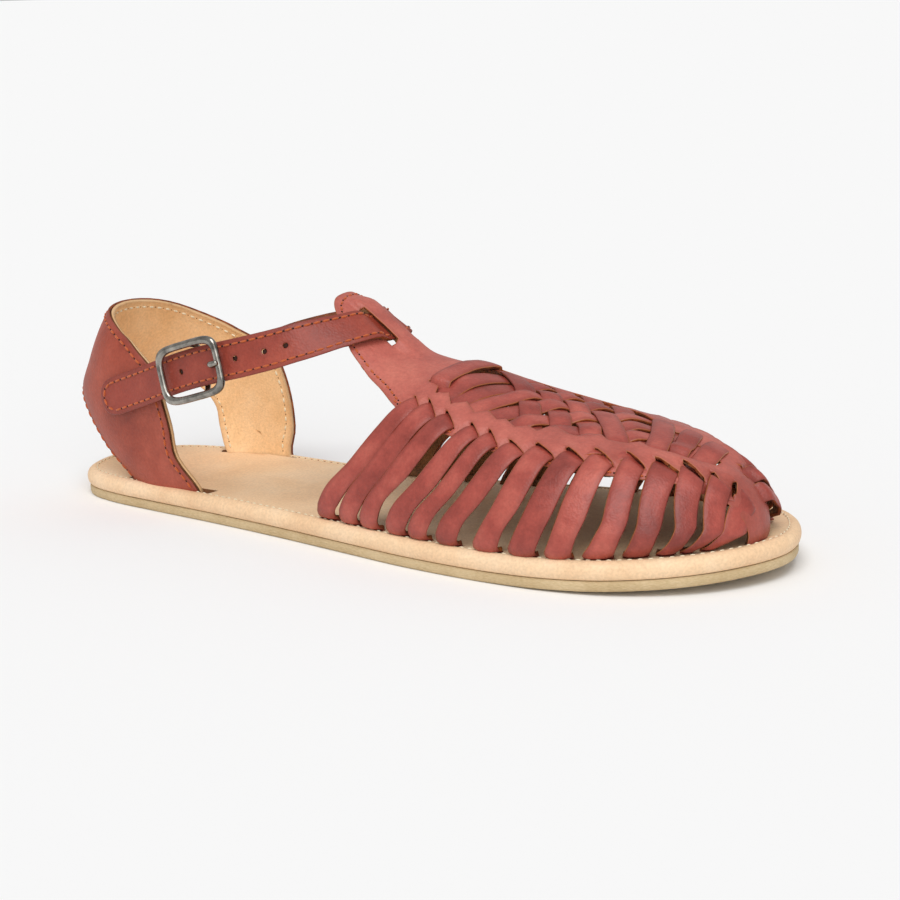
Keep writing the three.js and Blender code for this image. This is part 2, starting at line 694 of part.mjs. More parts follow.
function buckleTab() {
  const rows = TAB.map((row, i) => {
    const a = TAB[Math.max(i - 1, 0)];
    const b = TAB[Math.min(i + 1, TAB.length - 1)];
    const middle = onBuckle(row.s, 0, row.out);
    const n = onBuckle(row.out + b.out - a.out, 0, 0).sub(onBuckle(row.out, 0, 0));
    n.multiplyScalar(-1).add(onBuckle(0, 0, b.s - a.s)).sub(onBuckle(0, 0, 0)).normalize();
    return [-1, 0, 1].map((s) => {
      const p = middle.clone().add(onBuckle(0, s * TAB_HALF, 0)).sub(onBuckle(0, 0, 0));
      return { p, n, lift: -TAB_LEATHER / 2 };
    });
  });
  return toSolid(sheet(rows, TAB_LEATHER));
}

function piece(name, solid, color, roughness, metalness) {
  const material = new THREE.MeshStandardMaterial({ color, roughness, metalness });
  const mesh = new THREE.Mesh(toGeometry(solid), material);
  mesh.name = name;
  return mesh;
}

const sandal = new THREE.Group();
sandal.name = "huarache_sandal";
sandal.add(piece("outsole", outsole(), 0xc9b083, 0.8, 0));
sandal.add(piece("footbed", footbed(), 0xe6c197, 0.6, 0));
sandal.add(piece("upper", upper(), 0xa8544a, 0.5, 0));
sandal.add(piece("heel_counter", heelCounter(), 0xb06058, 0.5, 0));
sandal.add(piece("ankle_strap", ankleStrap().subtract(prong(1)), 0x9c4a42, 0.5, 0));
sandal.add(piece("buckle_frame", buckleFrame(), 0x8a8578, 0.35, 1));
sandal.add(piece("buckle_prong", prong(0.6), 0x8a8578, 0.35, 1));
sandal.add(piece("buckle_tab", buckleTab(), 0x7a3f34, 0.6, 0));

export default sandal;
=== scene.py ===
# %% [markdown]
# # A woven leather sandal, right foot
# The CAD model is the frame: it fixes every size. Here each piece is modelled again as a maker would cut,
# punch, weave and stitch it. All lengths are in millimetres until a vertex is placed, and then in metres.

# %% Load the packed sandal
import bisect
import random
from math import atan2, copysign, cos, exp, floor, hypot, pi, radians, sin

import bmesh
import bpy
from mathutils import Matrix, Vector, kdtree


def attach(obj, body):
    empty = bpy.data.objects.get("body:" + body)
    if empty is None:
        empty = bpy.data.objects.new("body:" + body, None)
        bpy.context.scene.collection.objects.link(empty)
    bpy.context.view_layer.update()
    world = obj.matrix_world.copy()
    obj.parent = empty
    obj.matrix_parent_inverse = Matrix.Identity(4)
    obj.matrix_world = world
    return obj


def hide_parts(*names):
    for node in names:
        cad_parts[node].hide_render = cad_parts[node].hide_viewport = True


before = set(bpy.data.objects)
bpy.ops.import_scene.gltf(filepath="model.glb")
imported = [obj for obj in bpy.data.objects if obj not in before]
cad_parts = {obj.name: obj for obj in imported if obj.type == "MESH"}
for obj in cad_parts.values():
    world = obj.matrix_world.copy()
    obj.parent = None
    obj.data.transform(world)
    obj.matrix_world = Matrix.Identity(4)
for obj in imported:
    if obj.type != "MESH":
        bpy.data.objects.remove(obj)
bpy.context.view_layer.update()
MM = 0.001
scene = bpy.context.scene
dice = random.Random(11)

# %% [markdown]
# ## The camera
# The camera stands in front of the outer side, a little above the shoe, and is long enough to keep the sole's
# lines calm. It is built from the direction it looks back along, so the roll can be set by hand.

# %% Camera
def look_from(azimuth, elevation, roll, distance, target, focal):
    """Adds a camera that looks at target in mm, from angles in degrees and a focal length in mm."""
    a, e, r = (radians(v) for v in (azimuth, elevation, roll))
    back = Vector((sin(a) * cos(e), -cos(a) * cos(e), sin(e)))
    right = Vector((cos(a), sin(a), 0))
    up = back.cross(right)
    right, up = right * cos(r) + up * sin(r), up * cos(r) - right * sin(r)
    camera = bpy.data.objects.new("camera", bpy.data.cameras.new("camera"))
    scene.collection.objects.link(camera)
    camera.data.lens = focal
    camera.data.sensor_width = 36
    camera.data.clip_start = 0.01
    turn = Matrix((right, up, back)).transposed().to_4x4()
    camera.matrix_world = Matrix.Translation((target + back * distance) * MM) @ turn
    scene.camera = camera


look_from(azimuth=35.114, elevation=12.483, roll=-1.424, distance=624.8, target=Vector((14.3, 0, 24.2)), focal=83.71)
print("camera at", scene.camera.matrix_world.translation)

# %% [markdown]
# ## Colours and nodes
# Leather is never one colour. One function turns sRGB hex values to linear, and one small helper adds a node
# with its settings and links, so a material reads as a list of steps. Every material starts from the place on
# the piece, which its patterns follow at real sizes, and ends with its shader and output.

# %% Colour and node helpers
def linear(code):
    parts = [int(code[i:i + 2], 16) / 255 for i in (0, 2, 4)]
    return [c / 12.92 if c <= 0.04045 else ((c + 0.055) / 1.055) ** 2.4 for c in parts] + [1]


def add_node(tree, kind, settings=None, links=None):
    """Adds a node: settings are its properties or its inputs' values, and links feed its inputs."""
    made = tree.nodes.new("ShaderNode" + kind)
    for name, value in (settings or {}).items():
        if isinstance(name, str) and hasattr(made, name):
            setattr(made, name, value)
        else:
            made.inputs[name].default_value = value
    for name, source in (links or {}).items():
        tree.links.new(source, made.inputs[name])
    return made


def set_ramp(ramp, stops):
    while len(ramp.color_ramp.elements) < len(stops):
        ramp.color_ramp.elements.new(0.5)
    for element, (place, colour) in zip(ramp.color_ramp.elements, stops):
        element.position = place
        element.color = linear(colour)


def start_material(name):
    """An empty material with its nodes, and the place on the piece."""
    material = bpy.data.materials.new(name)
    material.use_nodes = True
    tree = material.node_tree
    tree.nodes.clear()
    return material, tree, add_node(tree, "TexCoord").outputs["Object"]


def finish_material(material, tree, kind, settings, links):
    """Adds the shader and the output."""
    shader = add_node(tree, kind, settings, links)
    add_node(tree, "OutputMaterial", {}, {"Surface": shader.outputs[0]})
    return material


print("red leather, linear", [round(c, 3) for c in linear("c0645a")])

# %% [markdown]
# ## Leather finishes
# The straps are vegetable tanned leather dyed red brown and waxed by hand: the grain side has soft clouds of
# tone, fine pores and a dull gloss. Where a strap was cut its raw edge keeps the colour of the hide, darkened as
# painted shade, and the flesh side is a brown nap. Each finish takes its colours, the size of its clouds and pores
# in mm, its roughness and its relief as arguments. Two attributes are painted on the meshes. One is 0 at a cut
# edge. On the strips it is raised at the front edge, so the bare hide line shows only at the rear edge as painted
# light, and the front edge stays darker as painted shade. The other is a tone that differs at random from strap to
# strap, and on the saddle it falls towards the toe as painted shade. Real pores are 0.1 to 0.2 mm wide, too fine
# to show at this distance, so they are drawn at about half a millimetre.

# %% Leather
def leather(name, colours, cloud, pore, gloss, bump, edge="7a3328", edge_share=0.55, hide=None):
    """A leather: edge is burnished in over edge_share at a cut, and hide is its bare line at the cut itself."""
    material, tree, place = start_material(name)
    wear_and_lit_edge, tone_and_painted_shade = (add_node(tree, "Attribute", {"attribute_name": painted}).outputs["Fac"]
                  for painted in ("wear_and_lit_edge", "tone_and_painted_shade"))
    clouds = add_node(tree, "TexNoise", {"Scale": 1 / (cloud * MM), "Detail": 5, "Roughness": 0.6},
                      {"Vector": place})
    shifted = add_node(tree, "Math", {"operation": "ADD"}, {0: clouds.outputs["Fac"], 1: tone_and_painted_shade})
    ramp = add_node(tree, "ValToRGB", {}, {"Fac": shifted.outputs[0]})
    set_ramp(ramp, colours)
    flecks = add_node(tree, "TexNoise", {"Scale": 1 / (pore * 1.6 * MM), "Detail": 3}, {"Vector": place})
    fleck_range = add_node(tree, "MapRange", {"From Min": 0.3, "From Max": 0.7, "To Min": 0.9, "To Max": 1.08},
                           {"Value": flecks.outputs["Fac"]})
    mottled = add_node(tree, "Mix", {"data_type": "RGBA", "blend_type": "MULTIPLY", 0: 1.0},
                       {6: ramp.outputs["Color"], 7: fleck_range.outputs[0]})
    colour = mottled.outputs[2]
    burnish = {"From Min": 0.0, "From Max": 0.75, "To Min": edge_share, "To Max": 0.0}
    bare_line = {"From Min": 0.03, "From Max": 0.13, "To Min": 0.8, "To Max": 0.0}
    for shade, reach in ((edge, burnish), (hide, bare_line)):
        if shade:
            near_edge = add_node(tree, "MapRange", reach, {"Value": wear_and_lit_edge})
            colour = add_node(tree, "Mix", {"data_type": "RGBA", 7: linear(shade)},
                              {0: near_edge.outputs[0], 6: colour}).outputs[2]
    pores = add_node(tree, "TexVoronoi", {"Scale": 1 / (pore * MM), "feature": "SMOOTH_F1"}, {"Vector": place})
    ripple = add_node(tree, "TexNoise", {"Scale": 1 / (pore * 4 * MM), "Detail": 4}, {"Vector": place})
    height = add_node(tree, "Math", {"operation": "ADD"},
                      {0: pores.outputs["Distance"], 1: ripple.outputs["Fac"]})
    relief = add_node(tree, "Bump", {"Strength": bump, "Distance": 0.00025}, {"Height": height.outputs[0]})
    dull = add_node(tree, "MapRange", {"To Min": gloss - 0.08, "To Max": gloss + 0.12},
                    {"Value": clouds.outputs["Fac"]})
    return finish_material(material, tree, "BsdfPrincipled", {"IOR": 1.48},
                           {"Base Color": colour, "Roughness": dull.outputs[0], "Normal": relief.outputs[0]})


def three_tones(dark, middle, light, high=0.78, low=0.25):
    """Colours of a ramp from its dark to its light clouds."""
    return [(low, dark), (0.5, middle), (high, light)]


# Hand-waxed straps: soft clouds a finger wide, a low gloss, and a thin line of bare hide along the cut. On these
# strips it shows only on the rear edge, as painted light.
red_grain = leather("waxed_red_leather", three_tones("7f3128", "a2473c", "c06354"), 11, 0.55, 0.43, 0.35,
                    hide="b9703e")
# The saddle is the same hide stretched over the last. It is drawn lighter and pinker as painted light and a painted
# sheen where it faces the lamps, and it is calmer.
lit_saddle_grain = leather("saddle_red_leather_painted_light", three_tones("9c493d", "b65d50", "ca7463"), 15, 0.6, 0.46, 0.35,
                       "8c4234", 0.4, "b9703e")
# The strap and the counter are sewn, not woven, so they are smoother and browner, with a burnished edge.
strap_grain = leather("strap_red_leather", three_tones("7a2c1f", "943c2c", "ab503d"), 14, 0.6, 0.47, 0.4)
counter_grain = leather("counter_red_leather", three_tones("833323", "9e4632", "b45945"), 16, 0.6, 0.5, 0.4)
# Undyed lining leather is pale and warm, fine and nearly matt. Its colour is drawn lighter as painted light, since
# the lining lies in shade.
lit_tan_lining = leather("tan_lining_leather_painted_light", three_tones("e6b880", "f4cb98", "fbd9ad"), 18, 0.5, 0.6, 0.3,
                     "a87442", 0.4)
# The flesh side is a brown nap that scatters light, so it has no gloss and a strong relief.
flesh_side = leather("flesh_side_nap", three_tones("5c3b22", "7d5230", "96683f", 0.8, 0.2), 6, 0.4, 0.85, 0.8,
                     "6a4426", 0.3)
# A raw cut shows the hide's fibres: small rust and dark streaks, quite matt. The streaks are kept dark as painted
# shade, for the shadow the cut edges lie in.
shaded_raw_edge = leather("raw_cut_edge_painted_shade", three_tones("4a1c0e", "8c4218", "bd6c2c", 0.75, 0.3), 2.2, 0.3, 0.8, 0.8,
                   "7c3a18", 0.2)
# The footbed's cover is undyed and polished by hand: wide pale clouds and a soft sheen of wax. Its colour is drawn
# lighter as painted light, for the parts of the bed in shade.
lit_bed_leather = leather("footbed_tan_leather_painted_light", three_tones("e3ba90", "eecba3", "f5d9b7", 0.8), 22, 0.5, 0.6, 0.25,
                      "cda273", 0.35)
# The buckle's short tab lies in shade: its colour is darkened as painted shade, and it is a little shinier.
shaded_tab = leather("tab_leather_painted_shade", three_tones("5a241c", "77372c", "8f4c3e", 0.8), 8, 0.5, 0.5, 0.5)
print(len(bpy.data.materials), "finishes so far")

# %% [markdown]
# ## The shapes everything is fitted to
# A shoe is built on a last, and its sole on a paper outline. Both are given by short tables: half widths of the
# sole, and crest, bulge and shoulders of the last. Values between rows follow a smooth curve through them. The
# slot line runs 5 mm inside the sole's edge, and every rib comes up from it.

# %% Sole and last tables
SOLE = [(-123, 10.5, 10.5), (-119, 18, 17.8), (-112, 23.8, 24.2), (-100, 27.4, 28.4), (-80, 29.7, 29.8),
        (-55, 32, 28.9), (-25, 35.6, 27.8), (5, 40.2, 31), (25, 43.2, 36), (45, 44.7, 41.2), (62, 44.8, 44.2),
        (75, 43.9, 44.8), (90, 40.4, 42.6), (105, 32.4, 36.4), (115, 23, 27), (121, 13.4, 17.2), (124, 5.6, 9.2)]
LAST = [(-26, 70, 0, 0.06, -0.12, 0), (-20, 67, 0, 0.06, -0.12, 0), (-14, 63.3, 0, 0.06, -0.12, 0),
        (-7, 58.4, 0, 0.05, -0.12, 0), (0, 53.4, 0.5, 0.04, -0.08, 0), (10, 50.6, 1, 0.03, -0.02, 0),
        (20, 48.6, 1.5, 0.03, 0.02, 0), (40, 43, 2.2, 0.04, 0.04, 0), (60, 38.5, 2.6, 0.05, 0.05, 0.5),
        (75, 36.5, 2.6, 0.05, 0.03, 1.8), (90, 34, 2, 0.04, 0, 3.4), (100, 31, 1.4, 0.03, -0.03, 4.8),
        (108, 27.2, 0.8, 0.02, -0.03, 5.2), (114, 22.4, 0.4, 0.02, 0, 4), (118, 16.5, 0, 0.02, 0.02, 1)]
BED_TOP = 8.3


def mix(a, b, t):
    return a + (b - a) * t


def ease(t):
    t = min(max(t, 0), 1)
    return t * t * (3 - 2 * t)


def smooth(rows, at, column):
    """Smooth value of one column of a table whose rows go up in the first column."""
    last = len(rows) - 1
    if at <= rows[0][0]:
        return rows[0][column]
    if at >= rows[last][0]:
        return rows[last][column]
    i = bisect.bisect_right([row[0] for row in rows], at) - 1
    slopes = []
    for k in (i, i + 1):
        a, b = rows[max(k - 1, 0)], rows[min(k + 1, last)]
        slopes.append((b[column] - a[column]) / (b[0] - a[0]))
    span = rows[i + 1][0] - rows[i][0]
    t = (at - rows[i][0]) / span
    rise = rows[i + 1][column] - rows[i][column]
    a, b = slopes[0] * span - rise, rise - slopes[1] * span
    return rows[i][column] + t * rise + t * (1 - t) * (a * (1 - t) + b * t)


def spring(x):
    """How far the sole curves up at x."""
    return 3.6 * max(0, (x - 45) / 80) ** 2


def curve_point(points, t, closed=False):
    """A point at share t of a centripetal curve through points."""
    n = len(points)
    at = (n if closed else n - 1) * t
    i = floor(at)
    w = at - i
    if not closed and i >= n - 1:
        i, w = n - 2, 1

    def pick(k):
        if closed:
            return points[k % n]
        if k < 0:
            return points[0] * 2 - points[1]
        return points[k] if k < n else points[n - 1] * 2 - points[n - 2]

    p0, p1, p2, p3 = (pick(i + k) for k in (-1, 0, 1, 2))
    d0, d1, d2 = (max((a - b).length ** 0.5, 1e-4) for a, b in ((p0, p1), (p1, p2), (p2, p3)))
    t1 = ((p1 - p0) / d0 - (p2 - p0) / (d0 + d1) + (p2 - p1) / d1) * d1
    t2 = ((p2 - p1) / d1 - (p3 - p1) / (d1 + d2) + (p3 - p2) / d2) * d1
    c2 = (p2 - p1) * 3 - t1 * 2 - t2
    c3 = (p1 - p2) * 2 + t1 + t2
    return p1 + t1 * w + c2 * w * w + c3 * w ** 3


def sole_ring(inset, z=0.0):
    """The sole's outline moved inwards, as points that keep their places round the sole."""
    count = 192
    corners = [Vector((-125, 0, 0)), *(Vector((x, -out, 0)) for x, out, _ in SOLE), Vector((125, 1.5, 0)),
               *(Vector((x, inner, 0)) for x, _, inner in reversed(SOLE))]
    ring = []
    for i in range(count):
        p = curve_point(corners, i / count, True)
        along = curve_point(corners, (i + 0.01) / count, True) - curve_point(corners, (i - 0.01) / count % 1, True)
        along.normalize()
        p = p + Vector((-along.y, along.x, 0)) * inset
        p.z = z + spring(p.x)
        ring.append(p)
    return ring


def half_width(ring, x, side):
    """How far a ring stands from the middle line at x, on one side."""
    for a, b in zip(ring, ring[1:] + ring[:1]):
        if (a.x - x) * (b.x - x) <= 0 and (a.y + b.y) * side > 0 and a.x != b.x:
            return abs(a.y + (b.y - a.y) * (x - a.x) / (b.x - a.x))
    return 0.5


SLOT_LINE = sole_ring(5)
SECTION_STEP = 0.5
SECTIONS = []
for k in range(300):
    station = -30 + k * SECTION_STEP
    SECTIONS.append([smooth(LAST, station, c) for c in (1, 2, 3, 4, 5)]
                    + [half_width(SLOT_LINE, station, -1), half_width(SLOT_LINE, station, 1)])
print("last sections", len(SECTIONS), "slot line points", len(SLOT_LINE))

# %% [markdown]
# ## Points on the last
# A place on the vamp is a distance x along the shoe and an angle up from the outer slot line, with 90 at the
# crest and 180 at the inner slot line. Near the toe the surface hands over to the toe tab, whose own path
# goes down into the footbed, so one sheet of leather can run from the ankle to the toe without a seam.

# %% Last surface
def last_point(x, angle):
    at = min(max((x + 30) / SECTION_STEP, 0), len(SECTIONS) - 1.001)
    k = int(at)
    crest, bulge, full, inner_full, drawn, outer, inner = (
        a + (b - a) * (at - k) for a, b in zip(SECTIONS[k], SECTIONS[k + 1]))
    side = 1 if angle > 90 else -1
    a = radians(180 - angle if angle > 90 else angle)
    base = BED_TOP + spring(x)
    more = 1 + (inner_full if side > 0 else full) * sin(2 * a) ** 2
    out = bulge * sin(2 * a) * cos(a)
    wide = inner - drawn if side > 0 else outer
    return Vector((x, side * (wide * cos(a) * more + out), base + (crest - base) * sin(a) * more))


TOE_START = 106
TOE_PATH = [(TOE_START, 29.2), (110, 26.9), (114, 23.4), (116.6, 19), (117.7, 15), (117.8, 12.5), (117.2, 10.5),
            (117.2, 6)]
TOE_MIDDLE = -3


def toe_point(x, y):
    """A point of the toe tab: x goes on past its start as a length along the tab's path, y is across."""
    walk = x - TOE_START
    for (ax, az), (bx, bz) in zip(TOE_PATH, TOE_PATH[1:]):
        step = hypot(bx - ax, bz - az)
        if walk <= step or bz == TOE_PATH[-1][1]:
            break
        walk -= step
    t = walk / step
    along = Vector((bx - ax, 0, bz - az)).normalized()
    p = Vector((ax + (bx - ax) * t, 0, az + (bz - az) * t))
    off = y - TOE_MIDDLE
    return Vector((p.x - off * off / 34, y, p.z - along.x * off * off / 26))


def vamp_point(x, angle):
    """A point of the last that hands over to the toe tab."""
    if x <= TOE_START - 2:
        return last_point(x, angle)
    y = -26.5 * cos(radians(angle))
    return last_point(min(x, 114), angle).lerp(toe_point(max(x, TOE_START), y), ease((x - TOE_START + 2) / 8))


def normal_of(place, x, angle):
    """The outward normal of place at x and angle, from its neighbours."""
    p = place(x, angle)
    along = place(x + 0.4, angle) - place(x - 0.4, angle)
    around = place(x, angle + 0.6) - place(x, angle - 0.6)
    n = along.cross(around).normalized()
    return n if n.dot(p - Vector((p.x - 4, 0, BED_TOP))) > 0 else -n


def vamp(x, angle, lift=0.0):
    """The point and outward normal on the vamp, lifted off the last."""
    n = normal_of(vamp_point, x, angle)
    return vamp_point(x, angle) + n * lift, n


print("crest at the instep", tuple(round(v, 1) for v in vamp(0, 90)[0]))

# %% [markdown]
# ## Cutting leather
# A maker cuts a flat pattern, punches it and bends it round the last. The same is done here: an outline and its
# holes are filled as a flat face, an inset marks the rim, and straight cuts score it into small cells so that it
# can bend. Then each vertex is laid on the shoe, the rim a little lower, which rounds the cut edge. A Solidify
# modifier gives the thickness, with the flesh side and the cut edge in their own materials.

# %% Leather tools
WEAR_REACH = 2.5
CROWN, RIM_DROP = 0.25, 0.2
RIB_WALL, THIN_WALL, STRAP_WALL, TAB_WALL = 1.25, 1.15, 1.6, 1.0


def painted_layers(bm):
    """The wear and tone attributes of a mesh, added when it has none."""
    layers = bm.verts.layers.float
    return [layers.get(name) or layers.new(name) for name in ("wear_and_lit_edge", "tone_and_painted_shade")]


def mark_wear(bm, tone_and_painted_shade=0.0):
    """Stores how near each vertex is to a cut edge, and the tone of its piece."""
    wear_and_lit_edge, shade = painted_layers(bm)
    rim = [v for v in bm.verts if v.is_boundary]
    tree = kdtree.KDTree(len(rim))
    for i, v in enumerate(rim):
        tree.insert(v.co, i)
    tree.balance()
    for v in bm.verts:
        v[wear_and_lit_edge] = min(tree.find(v.co)[2] / (WEAR_REACH * MM), 1) if rim else 1
        v[shade] = tone_and_painted_shade


def cut_faces(grain):
    """A cut leather's materials: its grain, its flesh side and its raw edge."""
    return [grain, flesh_side, shaded_raw_edge]


def finish_piece(name, bm, materials, thickness=0.0, replaces=()):
    """Turns the bmesh into a piece of the sandal, with its wall, materials and body, and hides the parts it replaces.
    """
    mesh = bpy.data.meshes.new(name)
    bm.to_mesh(mesh)
    bm.free()
    mesh.shade_smooth()
    piece = bpy.data.objects.new(name, mesh)
    scene.collection.objects.link(piece)
    for material in materials:
        mesh.materials.append(material)
    if thickness:
        wall = piece.modifiers.new("wall", "SOLIDIFY")
        wall.thickness = thickness * MM
        wall.material_offset = 1
        wall.material_offset_rim = 2
    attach(piece, "root")
    if replaces:
        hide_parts(*replaces)
    print(name, "faces", len(mesh.polygons))


def cut_pattern(outline, holes=(), step=1.3, rim=0.35):
    """A flat, rimmed and scored piece of leather, as a bmesh in pattern millimetres."""
    bm = bmesh.new()
    for loop in (outline, *holes):
        corners = [bm.verts.new((u, v, 0)) for u, v in loop]
        for a, b in zip(corners, corners[1:] + corners[:1]):
            bm.edges.new((a, b))
    bmesh.ops.triangle_fill(bm, use_beauty=True, edges=bm.edges[:], normal=(0, 0, 1))
    bmesh.ops.inset_region(bm, faces=bm.faces[:], thickness=rim, use_boundary=True, use_even_offset=True)
    for axis in (0, 1):
        low = min(v.co[axis] for v in bm.verts)
        high = max(v.co[axis] for v in bm.verts)
        cuts = round((high - low) / step)
        for k in range(1, cuts):
            at = low + (high - low) * k / cuts
            bmesh.ops.bisect_plane(bm, geom=bm.verts[:] + bm.edges[:] + bm.faces[:], dist=1e-4,
                                   plane_co=(at, at, 0), plane_no=(1 - axis, axis, 0))
    return bm


def lay(bm, place, rim_drop=0.22):
    """Moves each vertex of a flat pattern to place(u, v), the rim a little inwards."""
    rim = {v for v in bm.verts if v.is_boundary}
    middle = max(bm.faces, key=lambda f: f.calc_area())
    spot = middle.calc_center_median()
    for v in bm.verts:
        p, n = place(v.co.x, v.co.y)
        v.co = (p - n * (rim_drop if v in rim else 0)) * MM
    middle.normal_update()
    if middle.normal.dot(place(spot.x, spot.y)[1]) < 0:
        bmesh.ops.reverse_faces(bm, faces=bm.faces[:])


ACROSS = (-1, -0.88, -0.5, 0, 0.5, 0.88, 1)


def add_strip(bm, rows, tone_and_painted_shade):
    """Adds a strip to bm: each row gives the outer face's place and normal at the seven shares in ACROSS."""
    wear_and_lit_edge, shade = painted_layers(bm)
    last = len(rows) - 1
    made = bmesh.ops.create_grid(bm, x_segments=last, y_segments=6, size=1)["verts"]
    for v in made:
        row = rows[round((v.co.x + 1) / 2 * last)]
        j = round((v.co.y + 1) / 2 * 6)
        p, n = row[j]
        s = ACROSS[j]
        v.co = (p - n * (CROWN * s * s + (RIM_DROP if abs(s) == 1 else 0))) * MM
        # Painted light: the front edge is marked as farther from the cut, so the bare hide line shows only on the
        # rear edge, which faces the light, and the front edge stays darker as painted shade.
        v[wear_and_lit_edge] = min((1 - abs(s)) * (row[6][0] - row[0][0]).length / 5, 1) + (0.2 if s == 1 else 0)
        v[shade] = tone_and_painted_shade
    faces = list({f for v in made for f in v.link_faces})
    middle, outside = rows[last // 2][3]
    probe = min(faces, key=lambda f: (f.calc_center_median() - middle * MM).length)
    probe.normal_update()
    if probe.normal.dot(outside) < 0:
        bmesh.ops.reverse_faces(bm, faces=faces)


def add_thong(bm, stations, tone_and_painted_shade):
    """Adds a strip of which each station is its middle, outward normal and width in mm."""
    rows = []
    for i, (middle, n, width) in enumerate(stations):
        ahead = stations[min(i + 1, len(stations) - 1)][0] - stations[max(i - 1, 0)][0]
        across = n.cross(ahead).normalized()
        n = ahead.cross(across).normalized()
        rows.append([(middle + across * (s * width / 2), n) for s in ACROSS])
    add_strip(bm, rows, tone_and_painted_shade)


print("leather tools ready")

# %% [markdown]
# ## Outsole and footbed
# The outsole is a thin slab of crepe, and the footbed a leather cover turned over a soft rounded edge. Both
# start as a circle whose points are moved to the outline, and the edge rises ring by ring, each ring an
# extrusion of the one before. The footbed's top is filled with the rib slots left open, and the slots are
# extruded down into it.

# %% Rib and slot tables
# Each rib: x of its rear edge at 4, 12 and 25 degrees up the last, the same for its front edge, then both ends
# of its slit in the band as x and angle.
RIBS = [(-9, -4.5, 4, -1.5, 3.6, 11.5, 18.1, 56.7, 22.1, 51.4), (0.5, 4, 10.8, 8, 12, 19, 23.3, 57.1, 28.4, 50.9),
        (9, 12, 18.6, 16.5, 19, 26.5, 30.3, 55.4, 35.3, 50.3),
        (19.5, 22.5, 29.5, 27, 30.5, 37, 39.6, 54.5, 44.2, 49.9), (28, 31, 37.5, 35, 38, 44, 46, 54.3, 50.9, 48.8),
        (38, 40.5, 46, 45.5, 48, 53.5, 53.5, 52.8, 59.9, 48.7), (50.5, 53.5, 57, 59, 61, 65, 61.1, 55.2, 68.7, 50.6),
        (62, 64.5, 67, 70.5, 72.5, 75, 70.3, 56.4, 77.5, 51.4), (73, 75, 76.5, 80.5, 82, 84, 77.7, 59.3, 84.9, 53.2),
        (83, 86, 88, 91, 92.5, 94, 85.8, 62, 92.6, 55.3), (93, 95, 96, 99.5, 100.5, 101.5, 92.8, 63.8, 100.3, 59.2),
        (101, 103.3, 104, 105.5, 107, 108.3, 98.7, 69, 105.8, 62.5),
        (106.3, 108.5, 109.5, 109.2, 111.5, 113.2, 105.6, 72.2, 111.1, 68.5),
        (110.4, 111.8, 113, 113, 115, 116.6, 112, 78.6, 116, 69.7)]
# The first inner ribs: the six places on the way up, and how far behind its outer twin's slit each one's slit is.
INNER_FEET = [(-19.5, -13.6, -3.8, -12, -6.1, 2.8, 5), (-8.3, -3.6, 4.6, -0.8, 3.9, 11.6, 4),
              (1.8, 5.7, 13.7, 9.3, 12.7, 21.1, 3.5), (13.5, 17.4, 25.2, 21, 25.4, 32.8, 2.5),
              (23.5, 27.1, 34.2, 30.5, 34.1, 40.8, 2), (35, 38, 44, 42.5, 45.5, 51.5, 1),
              (48, 51.5, 55.5, 56.5, 59, 63.5, 0.5), (60.5, 63.4, 66.2, 69, 71.4, 74.2, 0)]
INNER_RIBS = [(*feet, rib[6] - behind, rib[7], rib[8] - behind, rib[9])
              for (*feet, behind), rib in zip(INNER_FEET, RIBS)]
INNER_RIBS += [*RIBS[8:12], (106.3, 107, 108, 109.3, 111, 112.5, 107, 71, 111.5, 66),
               (110.4, 111.5, 113.5, 113, 114.8, 116.6, 112.6, 83, 116, 77)]


def toe_pull(x):
    """How far the feet stand inside the slot line towards the toe, where the bed shows in front of them."""
    return 2.6 * ease((x - 70) / 34)


def slot_loop(rib, side):
    """The corners of a rib's slot on the bed, on the slot line, with round ends."""
    x = (rib[0] + rib[3]) / 2
    angle = 1 if side < 0 else 179
    along = last_point(x + 0.4, angle) - last_point(x - 0.4, angle)
    along.z = 0
    n = along.cross(Vector((0, 0, 1))).normalized()
    if n.y * side < 0:
        n.negate()
    along.normalize()
    middle = last_point(x, angle) - n * (0.1 + toe_pull(x))
    half, deep = (rib[3] - rib[0]) / 2, 1.1
    shape = [(-1, -0.5), (-0.85, -1), (0.85, -1), (1, -0.5), (1, 0.5), (0.85, 1), (-0.85, 1), (-1, 0.5)]
    return [middle + along * (a * half) + n * (b * deep) for a, b in shape]


def toe_slot():
    """The toe tab's slot, bent round the toe."""
    shape = [(-5.6, 0), (-4.8, 1), (0, 1.4), (4.8, 1), (5.6, 0), (4.8, -1.4), (0, -1.5), (-4.8, -1.4)]
    return [Vector((118.2 + out - a * a / 34, TOE_MIDDLE - 1.2 + a, 0)) for a, out in shape]


# Outer face of the heel counter: height, rearmost x, start of the straight sides, half width.
COUNTER = [(0, -102, -70, 26), (8, -109, -76, 28), (20, -119, -86, 29.6), (34, -124.8, -92, 30.5),
           (45, -119.8, -92, 30.2), (54, -115.6, -92, 27.8), (62, -112, -92, 23.2)]
# Its edges as length round the heel and height, from each leg's foot to the back: both front edges, both rear edges.
OUTER_FRONT = [(1.24, 4.9), (1.29, 9), (1.3, 18), (1.38, 28), (1.38, 37), (1.3, 45.5), (1.16, 51), (1.01, 55.8),
               (0.66, 60.4), (0, 61.8)]
INNER_FRONT = [(1.13, 4.9), (1.15, 9), (1.32, 18), (1.39, 28), (1.37, 37), (1.24, 44), (1.02, 48.8), (0.76, 53.4),
               (0.4, 59.4), (0, 61.8)]
OUTER_REAR = [(0.66, 4.9), (0.66, 9), (0.61, 15), (0.57, 21.5), (0.53, 27), (0.47, 30.5), (0.38, 32.6), (0.27, 33.6),
              (0.14, 34), (0, 34)]
INNER_REAR = [(0.62, 4.9), (0.63, 9), (0.68, 15), (0.73, 21.5), (0.69, 27), (0.58, 30.5), (0.44, 32.6), (0.3, 33.6),
              (0.15, 34), (0, 34)]


